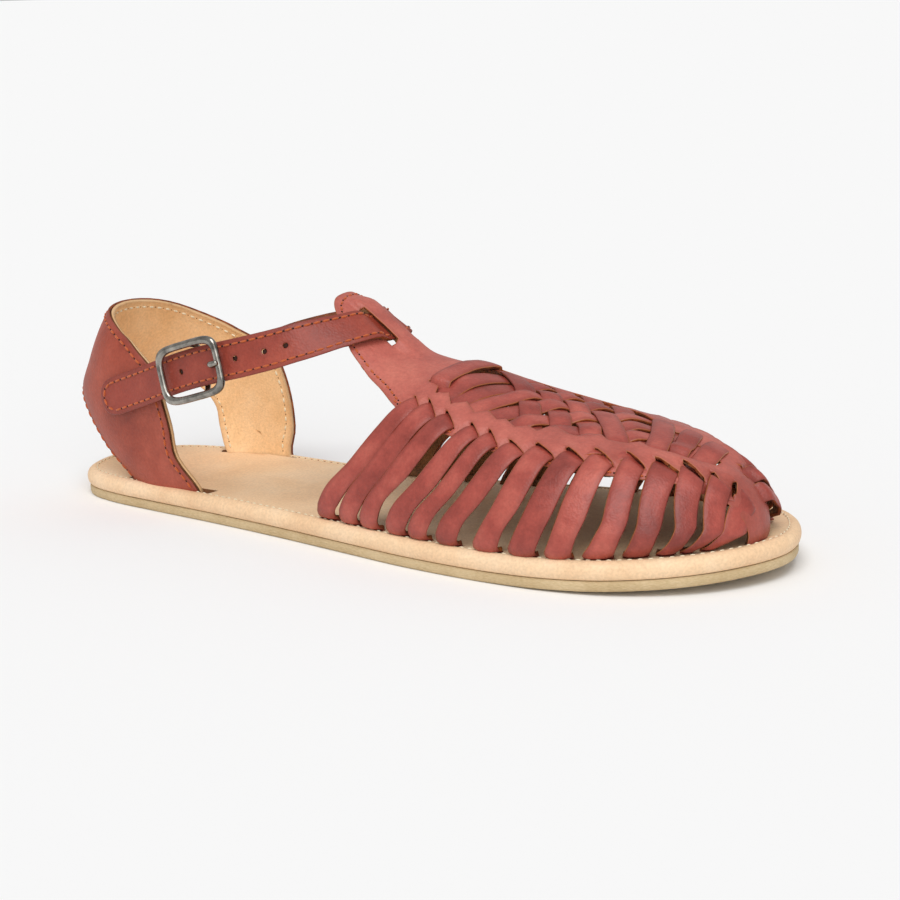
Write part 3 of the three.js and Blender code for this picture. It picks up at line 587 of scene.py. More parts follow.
def counter_point(along, z, side):
    """A point on the counter's outer face: along is 0 at the back, 1 at the side, then 50 mm a unit."""
    rear, centre, half = (smooth(COUNTER, z, c) for c in (1, 2, 3))
    turn = radians(90) * min(along, 1)
    x = centre - (centre - rear) * cos(turn) + max(along - 1, 0) * 50
    return Vector((x, side * half * sin(turn), z))


def on_counter(u, z, inward=0.0):
    """The same by signed length u, lateral side negative, with the outward normal."""
    side = -1 if u < 0 else 1
    at = abs(u) / 50
    ahead = counter_point(at + 0.01, z, side) - counter_point(max(at - 0.01, 0), z, side)
    up = counter_point(at, z + 0.5, side) - counter_point(at, z - 0.5, side)
    n = (up.cross(ahead) * side).normalized()
    return counter_point(at, z, side) - n * inward, n


def leg_slot(side):
    """The slot of a counter leg, which takes the outer leg's folded front as well."""
    ends = (0.6, 0.75, 0.9, 1.0, 1.1, 1.22, 1.36) if side < 0 else (0.6, 0.75, 0.9, 1.0, 1.1, 1.21)
    loop = [on_counter(side * a * 50, BED_TOP, 0.6 if a > 1.3 else -0.4)[0] for a in ends]
    for a in reversed(ends):
        loop.append(on_counter(side * a * 50, BED_TOP, 5.4 if a > 1.2 and side < 0 else 2.9)[0])
    return loop


SLOTS = [leg_slot(-1), leg_slot(1), *(slot_loop(rib, -1) for rib in RIBS), *(slot_loop(rib, 1) for rib in INNER_RIBS)]
print("slots", len(SLOTS))

# %% [markdown]
# ## Outsole and footbed surfaces
# Crepe rubber is milled into sheets and cut: matt, khaki, and a little pitted at its cut side, where its layers
# lie flat. The footbed's cover is pale natural leather, polished by hand at the rounded edge.

# %% Outsole
def crepe_rubber():
    material, tree, place = start_material("khaki_crepe_rubber")
    stretch = add_node(tree, "Mapping", {3: (1, 1, 3.5)}, {"Vector": place})
    grain = add_node(tree, "TexNoise", {"Scale": 1 / (1.1 * MM), "Detail": 4}, {"Vector": stretch.outputs[0]})
    clouds = add_node(tree, "TexNoise", {"Scale": 1 / (15 * MM), "Detail": 3}, {"Vector": place})
    both = add_node(tree, "Mix", {"data_type": "FLOAT", 0: 0.5},
                    {2: grain.outputs["Fac"], 3: clouds.outputs["Fac"]})
    ramp = add_node(tree, "ValToRGB", {}, {"Fac": both.outputs[0]})
    set_ramp(ramp, [(0.3, "b49a70"), (0.52, "cab28a"), (0.7, "d9c39d")])
    relief = add_node(tree, "Bump", {"Strength": 0.5, "Distance": 0.0003}, {"Height": grain.outputs["Fac"]})
    return finish_material(material, tree, "BsdfPrincipled", {"Roughness": 0.82},
                           {"Base Color": ramp.outputs[0], "Normal": relief.outputs[0]})


def ring_stack(bm, rings):
    """Side walls through rings of equal count, each ring an extrusion of the one before."""
    base = bmesh.ops.create_circle(bm, cap_ends=False, segments=len(rings[0]), radius=1)["verts"]
    base.sort(key=lambda v: atan2(-v.co.y, -v.co.x) % (2 * pi))
    first = base
    edges = list({e for v in base for e in v.link_edges})
    for v, p in zip(base, rings[0]):
        v.co = p * MM
    for ring in rings[1:]:
        grown = bmesh.ops.extrude_edge_only(bm, edges=edges)["geom"]
        new = {g for g in grown if isinstance(g, bmesh.types.BMVert)}
        edges = [g for g in grown if isinstance(g, bmesh.types.BMEdge) and g.is_boundary and new.issuperset(g.verts)]
        base = [next(e.other_vert(v) for e in v.link_edges if e.other_vert(v) in new) for v in base]
        for v, p in zip(base, ring):
            v.co = p * MM
    return first, base


def fill_flat(bm, loops, height, step):
    """Fills between loops of vertices on one level, scores the fill and gives it its height at each place."""
    edges = []
    for loop in loops:
        for a, b in zip(loop, loop[1:] + loop[:1]):
            edges.append(bm.edges.get((a, b)) or bm.edges.new((a, b)))
    fill = bmesh.ops.triangle_fill(bm, use_beauty=True, edges=edges, normal=(0, 0, 1))["geom"]
    faces = [g for g in fill if isinstance(g, bmesh.types.BMFace)]
    for axis, half in ((0, 125), (1, 45)):
        count = round(2 * half / step)
        for k in range(1, count):
            at = (2 * half * k / count - half) * MM
            inner = [f for f in faces if f.is_valid]
            geom = inner + list({e for f in inner for e in f.edges}) + list({v for f in inner for v in f.verts})
            cut = bmesh.ops.bisect_plane(bm, geom=geom, dist=1e-7, plane_co=(at, at, 0),
                                         plane_no=(1 - axis, axis, 0))["geom"]
            faces = list({g for g in cut if isinstance(g, bmesh.types.BMFace)})
    for v in {v for f in faces for v in f.verts}:
        v.co.z = height(v.co.x / MM, v.co.y / MM) * MM


def turn_out(bm):
    bmesh.ops.recalc_face_normals(bm, faces=bm.faces[:])


SOLE_RINGS = [(1.6, 0), (1.0, 0.25), (0.75, 0.8), (0.7, 1.8), (0.8, 3.0), (1.4, 3.05)]
bm = bmesh.new()
low, high = ring_stack(bm, [sole_ring(i, z) for i, z in SOLE_RINGS])
fill_flat(bm, [low], lambda x, y: spring(x), 4)
fill_flat(bm, [high], lambda x, y: 3.05 + spring(x), 4)
turn_out(bm)
finish_piece("outsole_crepe", bm, [crepe_rubber()], replaces=["outsole"])

# %% [markdown]
# ## Footbed
# The cover rolls over the edge and is sewn down a few millimetres inside it, so a shallow groove follows the
# stitches, and the bed dips very slightly towards its middle.

# %% Footbed
def bed_height(x, y):
    """The top of the bed, dished a little between its edges."""
    edge = max(half_width(SLOT_LINE, x, -1 if y < 0 else 1), 1)
    dish = 0.35 * max(0, 1 - (y / edge) ** 2)
    return BED_TOP + spring(x) - 0.25 - dish


BED_RINGS = [(1.6, 3.1), (0.9, 3.3), (0.35, 3.9), (0.05, 4.9), (0, 5.7), (0.15, 6.5), (0.5, 7.2), (1.1, 7.8),
             (1.8, 8.2), (2.5, 8.38), (3.0, 8.3), (3.25, 8.08), (3.5, 8.2)]
SLOT_DEPTH = 3.2
LAST_GROOVE = sole_ring(3.8)
bm = bmesh.new()
low, high = ring_stack(bm, [sole_ring(i, z) for i, z in BED_RINGS])
fill_flat(bm, [low], lambda x, y: 3.1 + spring(x), 4)
holes = []
for loop in SLOTS + [toe_slot()]:
    corners = []
    for p in loop:
        reach = half_width(LAST_GROOVE, p.x, -1 if p.y < 0 else 1)
        y = max(-reach, min(reach, p.y))
        corners.append(bm.verts.new(Vector((p.x, y, bed_height(p.x, y))) * MM))
    holes.append(corners)
fill_flat(bm, [high, *holes], bed_height, 2.5)
walls = bmesh.ops.extrude_edge_only(bm, edges=[e for e in bm.edges if e.is_boundary])["geom"]
pocket = {g for g in walls if isinstance(g, bmesh.types.BMVert)}
for v in pocket:
    v.co.z -= SLOT_DEPTH * MM
bmesh.ops.holes_fill(bm, edges=[e for e in bm.edges if e.is_boundary], sides=0)
for f in {f for v in pocket for f in v.link_faces}:
    f.material_index = 1
turn_out(bm)
mark_wear(bm)
finish_piece("footbed_cover", bm, [lit_bed_leather, flesh_side], replaces=["footbed"])

# %% [markdown]
# ## Ribs
# Each rib is a strap that comes out of its slot, bows outwards, leans towards the toe and goes up over the
# band's lower margin into a slit. It is a grid of a few columns laid along its path, with the two outer
# columns lowered, so that the cut edge shows its raw colour.

# %% Ribs
# How far a rib's face stands off the last at each share of its way up.
RIB_LIFT = [(0, 0.5), (0.004, 1.9), (0.012, 2.7), (0.03, 3.2), (0.07, 3.4), (0.12, 3.4), (0.2, 3.1), (0.35, 2.4),
            (0.55, 2.0), (0.7, 2.2), (0.82, 2.8), (0.9, 2.95), (0.96, 2.7), (1.0, 2.0), (1.04, 1.3), (1.1, 0.8)]


def rib_rows(rib, side, bow):
    """Rows of a rib from below the bed to inside the band, each from its rear edge to its front edge."""
    rear = [(2, rib[0]), (12, rib[1]), (25, rib[2]), (rib[7], rib[6])]
    front = [(2, rib[3]), (12, rib[4]), (25, rib[5]), (rib[9], rib[8])]
    edges = ((rear, rib[7], (rib[6] - rib[2]) / (rib[7] - 25)), (front, rib[9], (rib[8] - rib[5]) / (rib[9] - 25)))
    rows = []
    steps = [0, 0, 0, 0, 0.004, 0.009, 0.015] + [k / 46 for k in range(1, 51)]
    for i, h in enumerate(steps, -3):
        lift = smooth(RIB_LIFT, h, 1) + bow * ease(h / 0.1) * (1 - ease((h - 0.15) / 0.4))
        lift -= 0.8 * ease((rib[8] - 99) / 7) * ease((h - 0.93) / 0.08)
        places = []
        for line, end, lean in edges:
            angle = mix(0.15, end, h)
            places.append((smooth(line, min(angle, end), 1) + max(angle - end, 0) * lean, angle))
        row = []
        for s in ACROSS:
            x, angle = (mix(a, b, (s + 1) / 2) for a, b in zip(*places))
            corner = 1.5 * s ** 4 * (1 - ease(h / 0.1))
            angle = angle if side < 0 else 180 - angle
            n = normal_of(last_point, x, angle)
            out = max(lift - corner, 0.4) - toe_pull(x) * (1 - ease(h / 0.3))
            row.append((last_point(x, angle) + n * out - Vector((0, 0, max(-i, 0) * 1.1)), n))
        rows.append(row)
    return rows


bm = bmesh.new()
for rib in RIBS:
    add_strip(bm, rib_rows(rib, -1, dice.uniform(-0.1, 0.25)), dice.uniform(-0.1, 0.08))
for rib, bow in zip(INNER_RIBS, [-0.2] * 10 + [-1.2, -2, -2.6, -2.6]):
    add_strip(bm, rib_rows(rib, 1, bow), dice.uniform(-0.1, 0.08))
finish_piece("ribs", bm, cut_faces(red_grain), RIB_WALL, ["upper"])

# %% [markdown]
# ## The saddle
# The saddle is one sheet of leather from the ankle tab to the toe. It is punched with an eye for the weave, a slit
# for every rib and two slits that make the bridge for the ankle strap. Its pattern is drawn flat with x along and
# the angle round the last across, at 0.65 mm a degree, and is then laid on the last.

# %% Saddle pattern
DEGREE = 0.65
MARGIN = [(-22.6, 86), (-22.2, 78), (-20.6, 73), (-18.2, 69.5), (-13, 64), (-8.5, 59.6), (-2, 57.6), (5, 55),
          (11.5, 50.8), (18, 47.6), (24, 46.5), (33, 46.5), (42, 46.5), (51, 46.5), (60, 46.5), (69, 46.5),
          (78, 46.8), (87, 48), (95, 49.6), (101, 51.4), (106, 53.5), (110, 57.5), (113, 61.5), (118, 65),
          (124, 68.6), (131, 69.5)]
EYE = [(22.5, 65.6), (23.6, 61.7), (26.8, 64.4), (30.1, 59.5), (33.5, 63.8), (38.1, 60.1), (41.3, 63.7), (45.6, 60.6),
       (47.6, 62.8), (51.9, 60.2), (55, 63.4), (58.4, 61.9), (60.3, 66.8), (62, 68.2), (67.2, 65.4), (69.5, 65.1),
       (73.1, 66.7), (74.7, 70.9), (78.1, 67.7), (83.7, 68.5), (85.4, 73.5), (89.2, 70.9), (92.4, 71.2), (94.6, 72.8),
       (98.1, 73.4), (101.6, 76.8), (104.6, 83), (104.4, 89), (102.6, 91.5), (97.9, 89.6), (97.1, 95.2), (90.7, 92.9),
       (89.8, 101.6), (82.7, 98), (80, 104), (70, 112), (60, 118), (45, 118.4), (30, 118), (24, 116), (22.5, 113.6),
       (18.2, 112.7), (18.2, 111.9), (22.5, 111), (22.5, 69.2), (18.2, 68.1), (18.2, 67.3)]


def slit(x0, a0, x1, a1):
    """A punched slit as a thin lens from one end to the other."""
    start = Vector((x0, a0 * DEGREE))
    along = Vector((x1 - x0, (a1 - a0) * DEGREE))
    side = Vector((-along.y, along.x)).normalized() * 0.4
    return [tuple(start + along * t + side * s) for t, s in
            ((-0.02, 0), (0.12, 0.8), (0.5, 1), (0.88, 0.8), (1.02, 0), (0.88, -0.8), (0.5, -1), (0.12, -0.8))]


def flat(points):
    return [(x, a * DEGREE) for x, a in points]


def mirrored(points):
    return [(x, 180 - a) for x, a in points]


def round_corners(points, steps=3):
    """A smooth line through pattern points."""
    line = [Vector((u, v, 0)) for u, v in points]
    count = (len(line) - 1) * steps
    return [tuple(curve_point(line, k / count)[:2]) for k in range(count + 1)]


BRIDGE = [(-14.6, 80), (-14.9, 81.4), (-14.4, 82.8), (-9, 83.2), (-2.6, 83.6), (-2, 81.6), (-2.4, 80), (-8, 79.4)]
SLITS = [(*rib[6:], 1) for rib in RIBS]
SLITS += [(x0, 180 - a0, x1, 180 - a1, -1) for *_, x0, a0, x1, a1 in INNER_RIBS]
holes = [flat(EYE), flat(BRIDGE), flat(mirrored(BRIDGE)), *(slit(*row[:4]) for row in SLITS)]
INNER_MARGIN = mirrored(MARGIN[:22]) + [(113, 118), (118, 109), (124, 98.5), (131, 91.5)]
outline = round_corners(flat(MARGIN)) + round_corners(flat(INNER_MARGIN))[::-1]
print("saddle outline", len(outline), "holes", len(holes))

# %% Saddle
SLIT_LINES = []
for x0, a0, x1, a1, side in SLITS:
    start, end = Vector((x0, a0 * DEGREE)), Vector((x1, a1 * DEGREE))
    SLIT_LINES.append(((start + end) / 2, end - start, side))


def saddle_lift(u, v):
    """How far the saddle's outer face stands off the last: over the ribs, up at each slit, up at the bridge."""
    low = abs(90 - v / DEGREE)
    over_ribs = ease((u - 14) / 10) * ease((43.5 - low) / 10) * ease((low - 6) / 16)
    lift = 1.6 + 1.2 * over_ribs * (1 - 0.5 * ease((u - 100) / 8))
    for middle, along, side in SLIT_LINES:
        off = Vector((u, v)) - middle
        t = off.dot(along.normalized()) / (along.length / 2)
        if abs(t) < 1.3 and off.length < 9:
            up = (along.x * off.y - along.y * off.x) / along.length * side
            share = max(0, 1 - abs(t) ** 3 / 2.2)
            lift += 0.7 * share * exp(-up / 1.5) if up >= 0 else -1.15 * share * exp(up / 4.5)
    if -21.5 < u < 9:
        lift += 1.9 * ease((u + 21.5) / 5.5) * ease((9 - u) / 10) * ease((low - 9.8) / -3)
    return lift


def on_saddle(u, v):
    return vamp(u, v / DEGREE, saddle_lift(u, v))


bm = cut_pattern(outline, holes)
lay(bm, on_saddle)
mark_wear(bm)
# Painted shade: the saddle's tone falls towards the toe, where the leather turns away from the lamps.
shade = bm.verts.layers.float["tone_and_painted_shade"]
for v in bm.verts:
    v[shade] -= 0.3 * ease((v.co.x / MM - 102) / 14)
finish_piece("saddle", bm, cut_faces(lit_saddle_grain), RIB_WALL, ["upper"])

# %% [markdown]
# ## The weave
# Flat thongs come up through the band and cross the eye. One set starts at the outer side, the other at the inner
# side, and each goes over and under the other set in turn. The tables give each thong's x at four angles round
# the last. A thong's height follows from its crossings: every crossing is found where the two paths meet.

# %% Weave tables
OUTER_SET = {"P1a": (24.4, 26.8, 29.2, 33.4, 7.4), "P1b": (29, 33.1, 36.8, 44, 6.3),
             "P2": (34.4, 39.7, 44.4, 54.5, 6.5), "P3": (40.8, 47.3, 53.2, 66, 7.2), "P4": (48.5, 57, 66.2, 82, 7),
             "P5": (57, 69.5, 78.5, 94, 7.4), "P6": (68, 80, 88, 100, 6.8), "P7": (80, 92, 98, 106, 9.4)}
INNER_SET = {"V1": (57.5, 49.7, 41.5, 20, 6.4), "V2": (67, 59.8, 51, 32, 6.4), "V3": (76, 69.5, 59.8, 42, 6.4),
             "V4": (85.5, 77.4, 68.5, 51, 6.4), "V5": (91, 83.5, 77, 61, 6.4), "V6": (92.5, 90, 86.3, 76, 6.6),
             "V7": (97, 95.4, 93.6, 88, 6.2), "V8": (102.2, 101.7, 100.8, 97.6, 6.8)}
OUTER_ANGLES = (58, 75, 90, 120)
INNER_ANGLES = (60, 75, 90, 118)
ALWAYS_OVER = {"V4": ("P4", "P5", "P6"), "V5": ("P7",), "V6": ("P4", "P5", "P6", "P7"), "V7": ("P5", "P6", "P7"),
               "V8": ("P5", "P6", "P7")}
ALWAYS_UNDER = ("V5", "P5")


def thong_x(row, angles, angle):
    """A thong's x at an angle: a smooth line through its row, which runs straight on past both ends."""
    if angles[0] < angle < angles[3]:
        return smooth(list(zip(angles, row)), angle, 1)
    near, edge = (0, 0) if angle <= angles[0] else (2, 3)
    slope = (row[near + 1] - row[near]) / (angles[near + 1] - angles[near])
    return row[edge] + slope * (angle - angles[edge])


def v_over(v, p):
    """Whether thong v goes over thong p: in turn, but for the places named above."""
    even = (int(v[1]) + int(p[1])) % 2 == 0
    return (even or p in ALWAYS_OVER.get(v, ())) and (v, p) != ALWAYS_UNDER


CROSSINGS = {name: [] for name in [*OUTER_SET, *INNER_SET]}
for p, p_row in OUTER_SET.items():
    for v, v_row in INNER_SET.items():
        for k in range(160):
            a = 52 + k * 0.5
            gap = [thong_x(p_row, OUTER_ANGLES, b) - thong_x(v_row, INNER_ANGLES, b) for b in (a, a + 0.5)]
            if gap[0] * gap[1] <= 0:
                CROSSINGS[p].append((a, not v_over(v, p)))
                CROSSINGS[v].append((a, v_over(v, p)))
                break
print("crossings", sum(len(c) for c in CROSSINGS.values()) // 2)

# %% Weave
UNDER, OVER = 1.25, 2.55


def thong_lift(name, angle, low, high):
    """Height of a thong's outer face: at each crossing over or under, and below the band at both ends."""
    knots = [(a, OVER + 0.15 if top else UNDER) for a, top in sorted(CROSSINGS[name])]
    near = 2.5 if name == "P1a" else 1.9
    for a, free in ((low + 8, 1.5), (low + 13, near), (low + 22, near - 0.1), (high - 13, near), (high - 8, 1.5)):
        if all(abs(a - b) > 5 for b, _ in knots):
            knots.append((a, free))
    knots = [(low, 0.5)] + sorted(knots) + [(high, 0.5)]
    for (a, start), (b, end) in zip(knots, knots[1:]):
        if a <= angle <= b:
            return mix(start, end, ease((angle - a) / max(b - a, 0.01)))
    return 0.5


def thong_stations(name, row, angles, low):
    """Stations of a thong from angle low to the other edge of the eye."""
    stations = []
    for k in range(85):
        angle = mix(low, 127, k / 84)
        lift = thong_lift(name, angle, low + 1, 126)
        stations.append((*vamp(thong_x(row[:4], angles, angle), angle, lift), row[4]))
    return stations


bm = bmesh.new()
START_UP = {"V6": 63, "V7": 66, "V8": 70}
for table, angles, first_angle in ((OUTER_SET, OUTER_ANGLES, 53), (INNER_SET, INNER_ANGLES, 56)):
    for name, row in table.items():
        add_thong(bm, thong_stations(name, row, angles, START_UP.get(name, first_angle)), dice.uniform(-0.1, 0.07))
flap = []
for k in range(81):
    angle = mix(61, 119, k / 80)
    low = abs(90 - angle)
    over = saddle_lift(20.4, angle * DEGREE) + 1.15
    flap.append((*vamp(21.3 + 0.0012 * low ** 2, angle, mix(over, 0.5, ease((low - 20.8) / 4.6))), 6.5))
add_thong(bm, flap, 0.03)
finish_piece("woven_thongs", bm, cut_faces(red_grain), THIN_WALL, ["upper"])

# %% [markdown]
# ## Heel counter
# The counter is two leathers, red outside and tan inside, cut together, so its edge shows both. Both are laid on
# the same heel form, one wall further in for the lining.

# %% Heel counter
top = [(-u * 50, z) for u, z in OUTER_FRONT] + [(u * 50, z) for u, z in INNER_FRONT[-2::-1]]
bottom = [(u * 50, z) for u, z in INNER_REAR] + [(-u * 50, z) for u, z in OUTER_REAR[-2::-1]]
top, bottom = round_corners(top, 4), round_corners(bottom, 4)
for name, inward, drop, leathers in (("counter_leather", 0, 0.22, cut_faces(counter_grain)),
                                     ("counter_lining", 1.2, 0, [flesh_side, lit_tan_lining, lit_tan_lining])):
    bm = cut_pattern(top + bottom, step=2.0)
    lay(bm, lambda u, z: on_counter(u, z, inward), drop)
    mark_wear(bm)
    finish_piece(name, bm, leathers, THIN_WALL, ["heel_counter"])

# %% [markdown]
# ## Ankle strap
# The strap is a long flat pattern with a rounded tip, punched with round holes, and sewn along both edges. Its
# pattern runs by length along the strap's middle line, which goes from the tip past the buckle, under the bridge
# on the saddle and back to the inner side of the counter.

# %% Strap line
OUTER_RUN = [(-96.8, -31.4, 34.6, 0.33, 0.04), (-92.5, -31.8, 35.9, 0.33, 0.04), (-85, -32.1, 38.5, 0.33, 0.05),
             (-76, -32.9, 41.6, 0.32, 0.06), (-65.5, -34, 45.4, 0.31, 0.06), (-55, -34.7, 48.8, 0.28, 0.06),
             (-46, -34.4, 51.2, 0.27, 0.1), (-37, -32.8, 53.4, 0.27, 0.16), (-28, -30, 55.8, 0.3, 0.26),
             (-20.5, -26.4, 58.1, 0.42, 0.38)]
SADDLE_RUN = [(-12.2, 65, 2.9), (-9.6, 75.4, 2.9), (-8.5, 81.8, 1.2), (-8.2, 90, 1.1), (-9.2, 97.4, 1.2),
              (-10.8, 102.6, 3.0), (-15, 114, 3.2)]
INNER_RUN = [(-23, 20.8, 56.6, 0.46, 0.4), (-31, 27.4, 55.4, 0.3, 0.26), (-42, 31.4, 53, 0.27, 0.14),
             (-56, 33, 49.9, 0.27, 0.08), (-70, 32.8, 46, 0.28, 0.05), (-82, 32.2, 41.6, 0.29, 0.05),
             (-94, 31.7, 38, 0.29, 0.04)]
middles, leans = [], []
for side, run in ((-1, OUTER_RUN), (0, SADDLE_RUN), (1, INNER_RUN)):
    for row in run:
        if side:
            middles.append(Vector(row[:3]))
            leans.append(Vector((-row[3], -side * row[4], 1)).normalized())
        else:
            x, angle, lift = row
            middles.append(last_point(x, angle) + normal_of(last_point, x, angle) * lift)
            leans.append((last_point(x - 1, angle) - last_point(x + 1, angle)).normalized())


def strap_frame(t):
    """The strap's middle at share t, and the ways along it, across it and out from it."""
    p = curve_point(middles, t)
    along = (curve_point(middles, min(t + 0.001, 1)) - curve_point(middles, max(t - 0.001, 0))).normalized()
    n = along.cross(curve_point(leans, t)).normalized()
    return p, along, n.cross(along).normalized(), n


STRAP_STEPS = 500
LENGTHS = [0.0]
for k in range(STRAP_STEPS):
    ahead = curve_point(middles, (k + 1) / STRAP_STEPS) - curve_point(middles, k / STRAP_STEPS)
    LENGTHS.append(LENGTHS[-1] + ahead.length)


def on_strap(s, across, out=0.85):
    """A place on the strap: s along its length, across its width, out from its middle."""
    s = min(max(s, 0), LENGTHS[-1] - 0.001)
    k = bisect.bisect_right(LENGTHS, s) - 1
    t = (k + (s - LENGTHS[k]) / (LENGTHS[k + 1] - LENGTHS[k])) / STRAP_STEPS
    p, along, side, n = strap_frame(t)
    return p + side * across + n * out, n


def strap_length_at(x):
    """Length along the strap where its outer run passes x."""
    return next(LENGTHS[k] for k in range(STRAP_STEPS) if curve_point(middles, k / STRAP_STEPS).x > x)


print("strap length", round(LENGTHS[-1], 1), "mm")

# %% Ankle strap
END = LENGTHS[-1]
tip = [(0.1, 0), (0.35, 1.8), (1.1, 3.4), (2.4, 4.7), (4.4, 5.6), (7, 6)]
strap_outline = [(s, -w) for s, w in tip[::-1]] + tip[1:] + [(END / 2, 6), (END, 6), (END, -6), (END / 2, -6)]
HOLES = [strap_length_at(x) for x in (-60.0, -45.7, -39.3, -30.3, -24.1)]
HOLE_RADIUS = 0.8
punched = []
for s in HOLES:
    turns = [k * pi / 6 for k in range(12)]
    punched.append([(s + HOLE_RADIUS * cos(a), HOLE_RADIUS * sin(a)) for a in turns])
bm = cut_pattern(strap_outline, punched, 1.5, 0.3)
lay(bm, on_strap)
mark_wear(bm, 0.02)
finish_piece("ankle_strap_leather", bm, cut_faces(strap_grain), STRAP_WALL, ["ankle_strap"])

# %% [markdown]
# ## Buckle
# The buckle is cast zinc with a gunmetal plate that is rubbed bright on its high spots: warm grey, polished but
# not even. It has a rounded frame in front of the strap, a bar behind it and a prong bent round the bar. The
# frame's wire is a stack of rings that closes on itself.

# %% Buckle
origin, forward, upward, outward = strap_frame(5 / (len(middles) - 1))
HALF_LONG, HALF_WIDE = 12, 8.1


def on_buckle(s, across, out):
    """A place by the buckle: s forward along the strap, across it and out from it."""
    return origin + forward * (s + 0.7) + upward * (across - 0.6) + outward * out


def gunmetal():
    material, tree, place = start_material("antique_gunmetal_plate")
    rub = add_node(tree, "TexNoise", {"Scale": 1 / (3 * MM), "Detail": 4}, {"Vector": place})
    ramp = add_node(tree, "ValToRGB", {}, {"Fac": rub.outputs["Fac"]})
    set_ramp(ramp, three_tones("66635e", "938f88", "b9b4ab", 0.75, 0.3))
    dull = add_node(tree, "MapRange", {"To Min": 0.12, "To Max": 0.28}, {"Value": rub.outputs["Fac"]})
    return finish_material(material, tree, "BsdfPrincipled", {"Metallic": 1.0},
                           {"Base Color": ramp.outputs[0], "Roughness": dull.outputs[0]})


def sweep(bm, path, radii, spread=1.0):
    """A round bar along points: rings across the path, extruded one from the next, ends capped."""
    rings = []
    across = outward
    for i, (p, r) in enumerate(zip(path, radii)):
        along = (path[min(i + 1, len(path) - 1)] - path[max(i - 1, 0)]).normalized()
        side = along.cross(across).normalized()
        across = side.cross(along).normalized()
        turns = [pi * k / 5 for k in range(10)]
        rings.append([p + side * (cos(a) * r * spread) + across * (sin(a) * r) for a in turns])
    for end in ring_stack(bm, rings):
        bmesh.ops.contextual_create(bm, geom=end)


def rounded(value):
    """A cosine or sine pushed outwards, which squares a circle and leaves round corners."""
    return copysign(abs(value) ** 0.42, value)


metal = gunmetal()
bm = bmesh.new()
rings = []
for k in range(13):
    a = 2 * pi * k / 12
    grow, out = 1.15 * cos(a), 2.5 + 1.05 * sin(a)
    turns = [pi + 2 * pi * i / 96 for i in range(96)]
    rings.append([on_buckle(rounded(cos(b)) * (HALF_LONG + grow), rounded(sin(b)) * (HALF_WIDE + grow), out)
                  for b in turns])
ring_stack(bm, rings)
bmesh.ops.remove_doubles(bm, verts=bm.verts[:], dist=0.00002)
BAR = [(HALF_WIDE, 2.2), (8.05, 0.4), (7.6, -2.0), (6.6, -3.3), (5.2, -3.7), (0, -3.7)]
sweep(bm, [on_buckle(0, w, out) for w, out in BAR] + [on_buckle(0, -w, out) for w, out in BAR[-2::-1]], [0.9] * 11)
turn_out(bm)
finish_piece("buckle_frame_metal", bm, [metal], replaces=["buckle_frame"])
bm = bmesh.new()
PRONG = [(2.9, -3.1), (3.8, -2.7), (5, -2), (6.2, -1.2), (7.2, -0.2), (8, 0.9), (8.6, 2.2), (9.2, 3.3), (10, 4.2),
         (10.9, 4.7), (11.8, 4.85), (12.8, 4.8), (13.7, 4.6)]
sweep(bm, [on_buckle(s, 0, out) for s, out in PRONG], [0.75] * 10 + [0.68, 0.6, 0.45], 1.25)
turn_out(bm)
finish_piece("buckle_prong_metal", bm, [metal], replaces=["buckle_prong"])
bm = bmesh.new()
TAB = [(-24, -8.3), (-16, -7.7), (-9, -7), (-4, -6.1), (0, -5.6), (1.5, -4.9), (1.9, -3.7), (1.4, -2.4), (0, -1.9),
       (-2.4, -1.95)]
tab_line = [Vector((*place, 0)) for place in TAB]
stations = []
for k in range(55):
    p = curve_point(tab_line, k / 54)
    d = curve_point(tab_line, min(k / 54 + 0.01, 1)) - curve_point(tab_line, max(k / 54 - 0.01, 0))
    n = (forward * d.y - outward * d.x).normalized()
    stations.append((on_buckle(p.x, 0, p.y) + n * 0.5, n, 7.2))
add_thong(bm, stations, -0.05)
finish_piece("buckle_tab_leather", bm, cut_faces(shaded_tab), TAB_WALL, ["buckle_tab"])

# %% [markdown]
# ## Stitches
# A seam is a row of thread stitches that sink into needle holes. Each stitch is one small stretched ball, and each
# hole is painted shade: one dark flattened ball between them. All the stitches of one thread are one mesh. The
# thread is waxed linen, twisted, so it is half matt with fine slanted bands. The real twist is finer, and is drawn at
# 0.9 mm.

# %% Stitches
def thread(name, colours):
    material, tree, place = start_material(name)
    twist = add_node(tree, "TexWave", {"Scale": 1 / (0.9 * MM), "Distortion": 2, "bands_direction": "DIAGONAL"},
                     {"Vector": place})
    ramp = add_node(tree, "ValToRGB", {}, {"Fac": twist.outputs["Fac"]})
    set_ramp(ramp, colours)
    relief = add_node(tree, "Bump", {"Strength": 0.6, "Distance": 0.0001}, {"Height": twist.outputs["Fac"]})
    return finish_material(material, tree, "BsdfPrincipled", {"Roughness": 0.7, "Sheen Weight": 0.2},
                           {"Base Color": ramp.outputs[0], "Normal": relief.outputs[0]})


bm = bmesh.new()
bmesh.ops.create_uvsphere(bm, u_segments=8, v_segments=5, radius=1)
ball = bpy.data.meshes.new("stitch_ball")
bm.to_mesh(ball)
bm.free()


def place_ball(bm, spot, turn, size):
    """Adds one ball, stretched to size and turned, at spot."""
    made = ball.copy()
    made.transform(Matrix.Translation(spot * MM) @ turn @ Matrix.Diagonal((*(v * MM for v in size), 1)))
    bm.from_mesh(made)
    bpy.data.meshes.remove(made)


